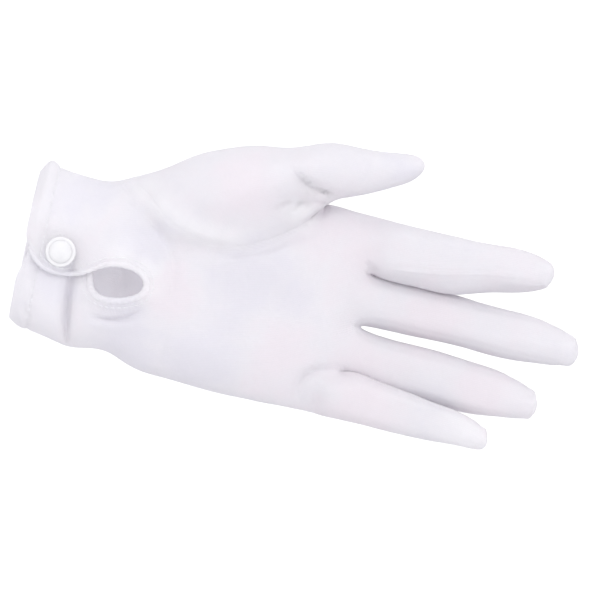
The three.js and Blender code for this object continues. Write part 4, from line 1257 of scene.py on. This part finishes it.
def tint_and_painted_light_of(shader, brightness):
    """Cotton white with warm patches and bluish darker patches that are partly painted shade, whose edges
    wander, and patches of painted light on the palm side.
    """
    calc = shader.math

    def around_zero(value, share):
        return calc("MULTIPLY", calc("SUBTRACT", value, 0.5), share)

    flat = shader.vector("MULTIPLY", shader.place(), (1.0, 0.0, 1.0))["Vector"]
    clouds = shader.clouds(CLOUD_SCALE)
    reach, start = (2 * PATCH_DRIFT, 0.0, 2 * PATCH_DRIFT), (-PATCH_DRIFT, 0.0, -PATCH_DRIFT)
    drift = shader.vector("MULTIPLY_ADD", clouds["Color"], reach, start)["Vector"]
    moved = shader.vector("ADD", flat, drift)["Vector"]
    # The second share is of the bluish darker patches, which are partly painted shade.
    warm, cool_and_shade = (patch_share(shader, moved, patches) for patches in (WARM_PATCHES, COOL_AND_SHADE_PATCHES))
    balance = calc("MULTIPLY", calc("SUBTRACT", warm, cool_and_shade), PATCH_SHARE)
    mottling = around_zero(shader.noise(*MOTTLING), MOTTLING_SHARE)
    wander = calc("ADD", around_zero(clouds["Fac"], CLOUD_SHARE), mottling)
    value = calc("ADD", calc("ADD", balance, wander), 0.5)
    colors = [tuple(v * brightness for v in color) for color in (COTTON_COOL_AND_SHADED, COTTON_WHITE, COTTON_WARM)]
    tint_and_painted_light = shader.ramp(value, *zip(TINT_AND_SHADE_STOPS, colors))
    # Painted light: on the palm side the colour is lifted towards white in the patches of painted light.
    palm_side = calc("LESS_THAN", shader.split(shader.place())["Y"], 0.0)
    pale = calc("MULTIPLY", patch_share(shader, flat, PAINTED_LIGHT_PATCHES), palm_side)
    return shader.blend_colors("ADD", calc("MULTIPLY", pale, PAINTED_LIGHT_SHARE), tint_and_painted_light, (1.0, 1.0, 1.0, 1.0))


def cotton(name, brightness=1.0, knit_strength=0.55):
    shader = Shader(bpy.data.materials.new(name))
    tint_and_painted_light = tint_and_painted_light_of(shader, brightness)
    knit = knit_height(shader)
    flecks = shader.span(shader.noise(*FLECKS), *FLECK_SHADE)
    # Painted shade: the colour darkens in the knit's grooves, and random flecks vary its tone.
    shade = shader.math("MULTIPLY", shader.span(knit, *KNIT_SHADE), flecks)
    grey = shader.node("ShaderNodeCombineColor", dict.fromkeys(("Red", "Green", "Blue"), shade))["Color"]
    fuzz = shader.bump(shader.noise(*FUZZ[0]), *FUZZ[1:])
    puckers = shader.bump(shader.noise(*PUCKERS[0]), *PUCKERS[1:], Normal=fuzz)
    normal = shader.bump(knit, knit_strength, KNIT_RELIEF, Normal=puckers)
    shader.set(Base_Color=shader.blend_colors("MULTIPLY", 1.0, tint_and_painted_light, grey), Normal=normal)
    shader.set(Roughness=shader.span(shader.noise(420.0), 0.82, 0.95), Specular_IOR_Level=0.25)
    shader.set(Sheen_Weight=0.12, Sheen_Roughness=0.45)
    shader.set(Subsurface_Weight=0.5, Subsurface_Radius=(1.0, 0.98, 0.98), Subsurface_Scale=LIGHT_DEPTH)
    inputs = {"Color": (*COTTON_THROUGH, 1.0), "Normal": normal}
    through = shader.node("ShaderNodeBsdfTranslucent", inputs)["BSDF"]
    inputs = {"Fac": LIGHT_THROUGH, 1: shader.surface.outputs["BSDF"], 2: through}
    both = shader.node("ShaderNodeMixShader", inputs)["Shader"]
    shader.feed(shader.tree.nodes["Material Output"].inputs["Surface"], both)
    return shader.owner


def spotted(name, marks, dark, light):
    """A finish with soft spots, and the noise of its spots."""
    shader = Shader(bpy.data.materials.new(name))
    spots = shader.noise(*marks)
    shader.set(Base_Color=shader.ramp(spots, (0.35, dark), (0.65, light)))
    return shader, spots


def thread():
    shader, along = spotted("cotton_thread", (1500.0, 2.0, 0.5), (0.84, 0.84, 0.87), (0.90, 0.90, 0.92))
    shader.set(Normal=shader.bump(shader.noise(4200.0), 0.4, 0.08 * MM))
    shader.set(Roughness=shader.span(along, 0.55, 0.75), Sheen_Weight=0.15)
    return shader.owner


def enamel():
    shader, _ = spotted("cap_enamel", (260.0, 3.0, 0.55), (0.675, 0.670, 0.695), (0.710, 0.705, 0.725))
    shader.set(Normal=shader.bump(shader.noise(700.0), 0.05, 0.20 * MM))
    shader.set(Roughness=shader.span(shader.noise(1200.0, 3.0), 0.40, 0.52))
    shader.set(Coat_Weight=0.12, Coat_Roughness=0.2)
    return shader.owner


def nickel():
    shader, marks = spotted("stud_nickel", (1800.0, 3.0, 0.6), (0.62, 0.62, 0.64), (0.76, 0.76, 0.78))
    shader.set(Roughness=shader.span(marks, 0.28, 0.45), Metallic=1.0)
    return shader.owner


def paint(piece, material):
    piece.data.materials.clear()
    piece.data.materials.append(material)
    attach(piece, "root")
    return piece


# The glove

make_hand()
make_thumb(make_fingers())
surface = Surface()
draw_in(surface, {**PALM_FOLDS, **FINE_PALM_FOLDS})
for palm_folds in (PALM_FOLDS, FINE_PALM_FOLDS, joint_folds(-1)):
    add_folds(surface, palm_folds, -1)
add_folds(surface, BACK_FOLDS, 1)
add_seams(surface)
add_keyhole_rim(surface)
add_hem(surface)
add_unevenness(surface)
seat_snap(surface)
surface_normals = surface.normals()
surface_tree = BVHTree.FromPolygons(surface.points.tolist(), surface.faces.tolist())

cotton_cloth = cotton("cotton_jersey")
for cloth_name in CLOTHS:
    piece = cloth_piece(surface, surface_normals, cloth_name)
    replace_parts(paint(piece, cotton_cloth), cloth_name)

binding = make_binding(surface, surface_normals)
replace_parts(paint(binding, cotton("cotton_binding", 1.01, 0.3)), "keyhole_binding")

stitch_lines = [*hem_lines(surface_tree), vent_line(surface, surface_normals, surface_tree)]
paint(add_stitches("hem_and_vent_stitches", stitch_lines), thread())

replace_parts(paint(make_cap(), enamel()), "button_cap")
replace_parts(paint(make_stud(), nickel()), "snap_stud")


# Floor, light and camera

FLOOR_HEIGHT = -2.4
FLOOR_FLAT = 5.0
FLOOR_RADIUS = 9.0
FLOOR_BEND = 1.2
FLOOR_SEGMENTS = 96
FLOOR_BEND_STEPS = 12
SKY_STRENGTH = 1.27
SKY_TOP = (0.86, 0.86, 0.87)
LIGHT_PLACE = (0.15, -2.0, 0.80)
LIGHT_TARGET = (0.115, 0.0, 0.0)
LIGHT_SIZE = 1.3
LIGHT_WATTS = 12.0
PIXEL_SIZE = 0.42 * MM
FRAME_PIXELS = (590, 591)
HAND_SLOPE = 12.0
WRIST_PIXEL = (24.0, 241.6)
CAMERA_DISTANCE = 4.0
CAMERA_REACH = 50.0
SENSOR = 36.0


def make_floor():
    """A wide pale floor whose edge bends up a little all round, turned round Y and then laid flat."""
    profile = [(0, 0), (FLOOR_FLAT, 0)]
    profile += arc((FLOOR_RADIUS - FLOOR_BEND, FLOOR_BEND), FLOOR_BEND, -90, 0, FLOOR_BEND_STEPS)
    floor = turned("floor", profile, (0.0, 0.0, 0.0), FLOOR_SEGMENTS)
    floor.rotation_euler.x = -math.pi / 2
    floor.location.z = FLOOR_HEIGHT
    shader = Shader(bpy.data.materials.new("floor_pale"))
    flat = shader.vector("MULTIPLY", shader.place(), (1.0, 0.0, 1.0))["Vector"]
    out = shader.math("DIVIDE", shader.vector("LENGTH", flat)["Value"], FLOOR_RADIUS)
    shader.set(Base_Color=shader.ramp(out, (0.25, (0.86, 0.86, 0.87)), (0.80, (0.95, 0.95, 0.95))))
    shader.set(Roughness=0.9, Specular_IOR_Level=0.1)
    floor.data.materials.append(shader.owner)


def make_light():
    """A white studio that is a little dimmer overhead, and one large soft light above the camera."""
    sky = Shader(bpy.data.worlds.new("studio"), "Background")
    height = sky.split(sky.node("ShaderNodeTexCoord")["Generated"])["Z"]
    sky.set(Color=sky.ramp(height, (0.15, (1.0, 1.0, 1.0)), (0.75, SKY_TOP)), Strength=SKY_STRENGTH)
    bpy.context.scene.world = sky.owner
    data = bpy.data.lights.new("key", "AREA")
    data.shape = "DISK"
    data.size = LIGHT_SIZE
    data.energy = LIGHT_WATTS
    light = add_to_scene("key", data)
    light.location = LIGHT_PLACE
    aim = Vector(LIGHT_TARGET) - Vector(LIGHT_PLACE)
    light.rotation_euler = aim.to_track_quat("-Z", "Y").to_euler()
    light.visible_camera = False


def make_camera():
    """Looks straight at the palm from afar, turned so that the fingers slope down to the right."""
    slope = math.radians(HAND_SLOPE)
    right = Vector((math.cos(slope), 0.0, math.sin(slope)))
    up = Vector((-math.sin(slope), 0.0, math.cos(slope)))
    back = right.cross(up)
    over, down = ((size / 2 - place) * PIXEL_SIZE for size, place in zip(FRAME_PIXELS, WRIST_PIXEL))
    data = bpy.data.cameras.new("camera")
    data.sensor_width = SENSOR
    data.lens = SENSOR * CAMERA_DISTANCE / (max(FRAME_PIXELS) * PIXEL_SIZE)
    data.clip_end = CAMERA_REACH
    camera = add_to_scene("camera", data)
    camera.matrix_world = Matrix((right, up, back)).transposed().to_4x4()
    camera.location = right * over - up * down + back * CAMERA_DISTANCE
    bpy.context.scene.camera = camera


make_floor()
make_light()
make_camera()
bpy.context.scene.view_settings.view_transform = "Standard"
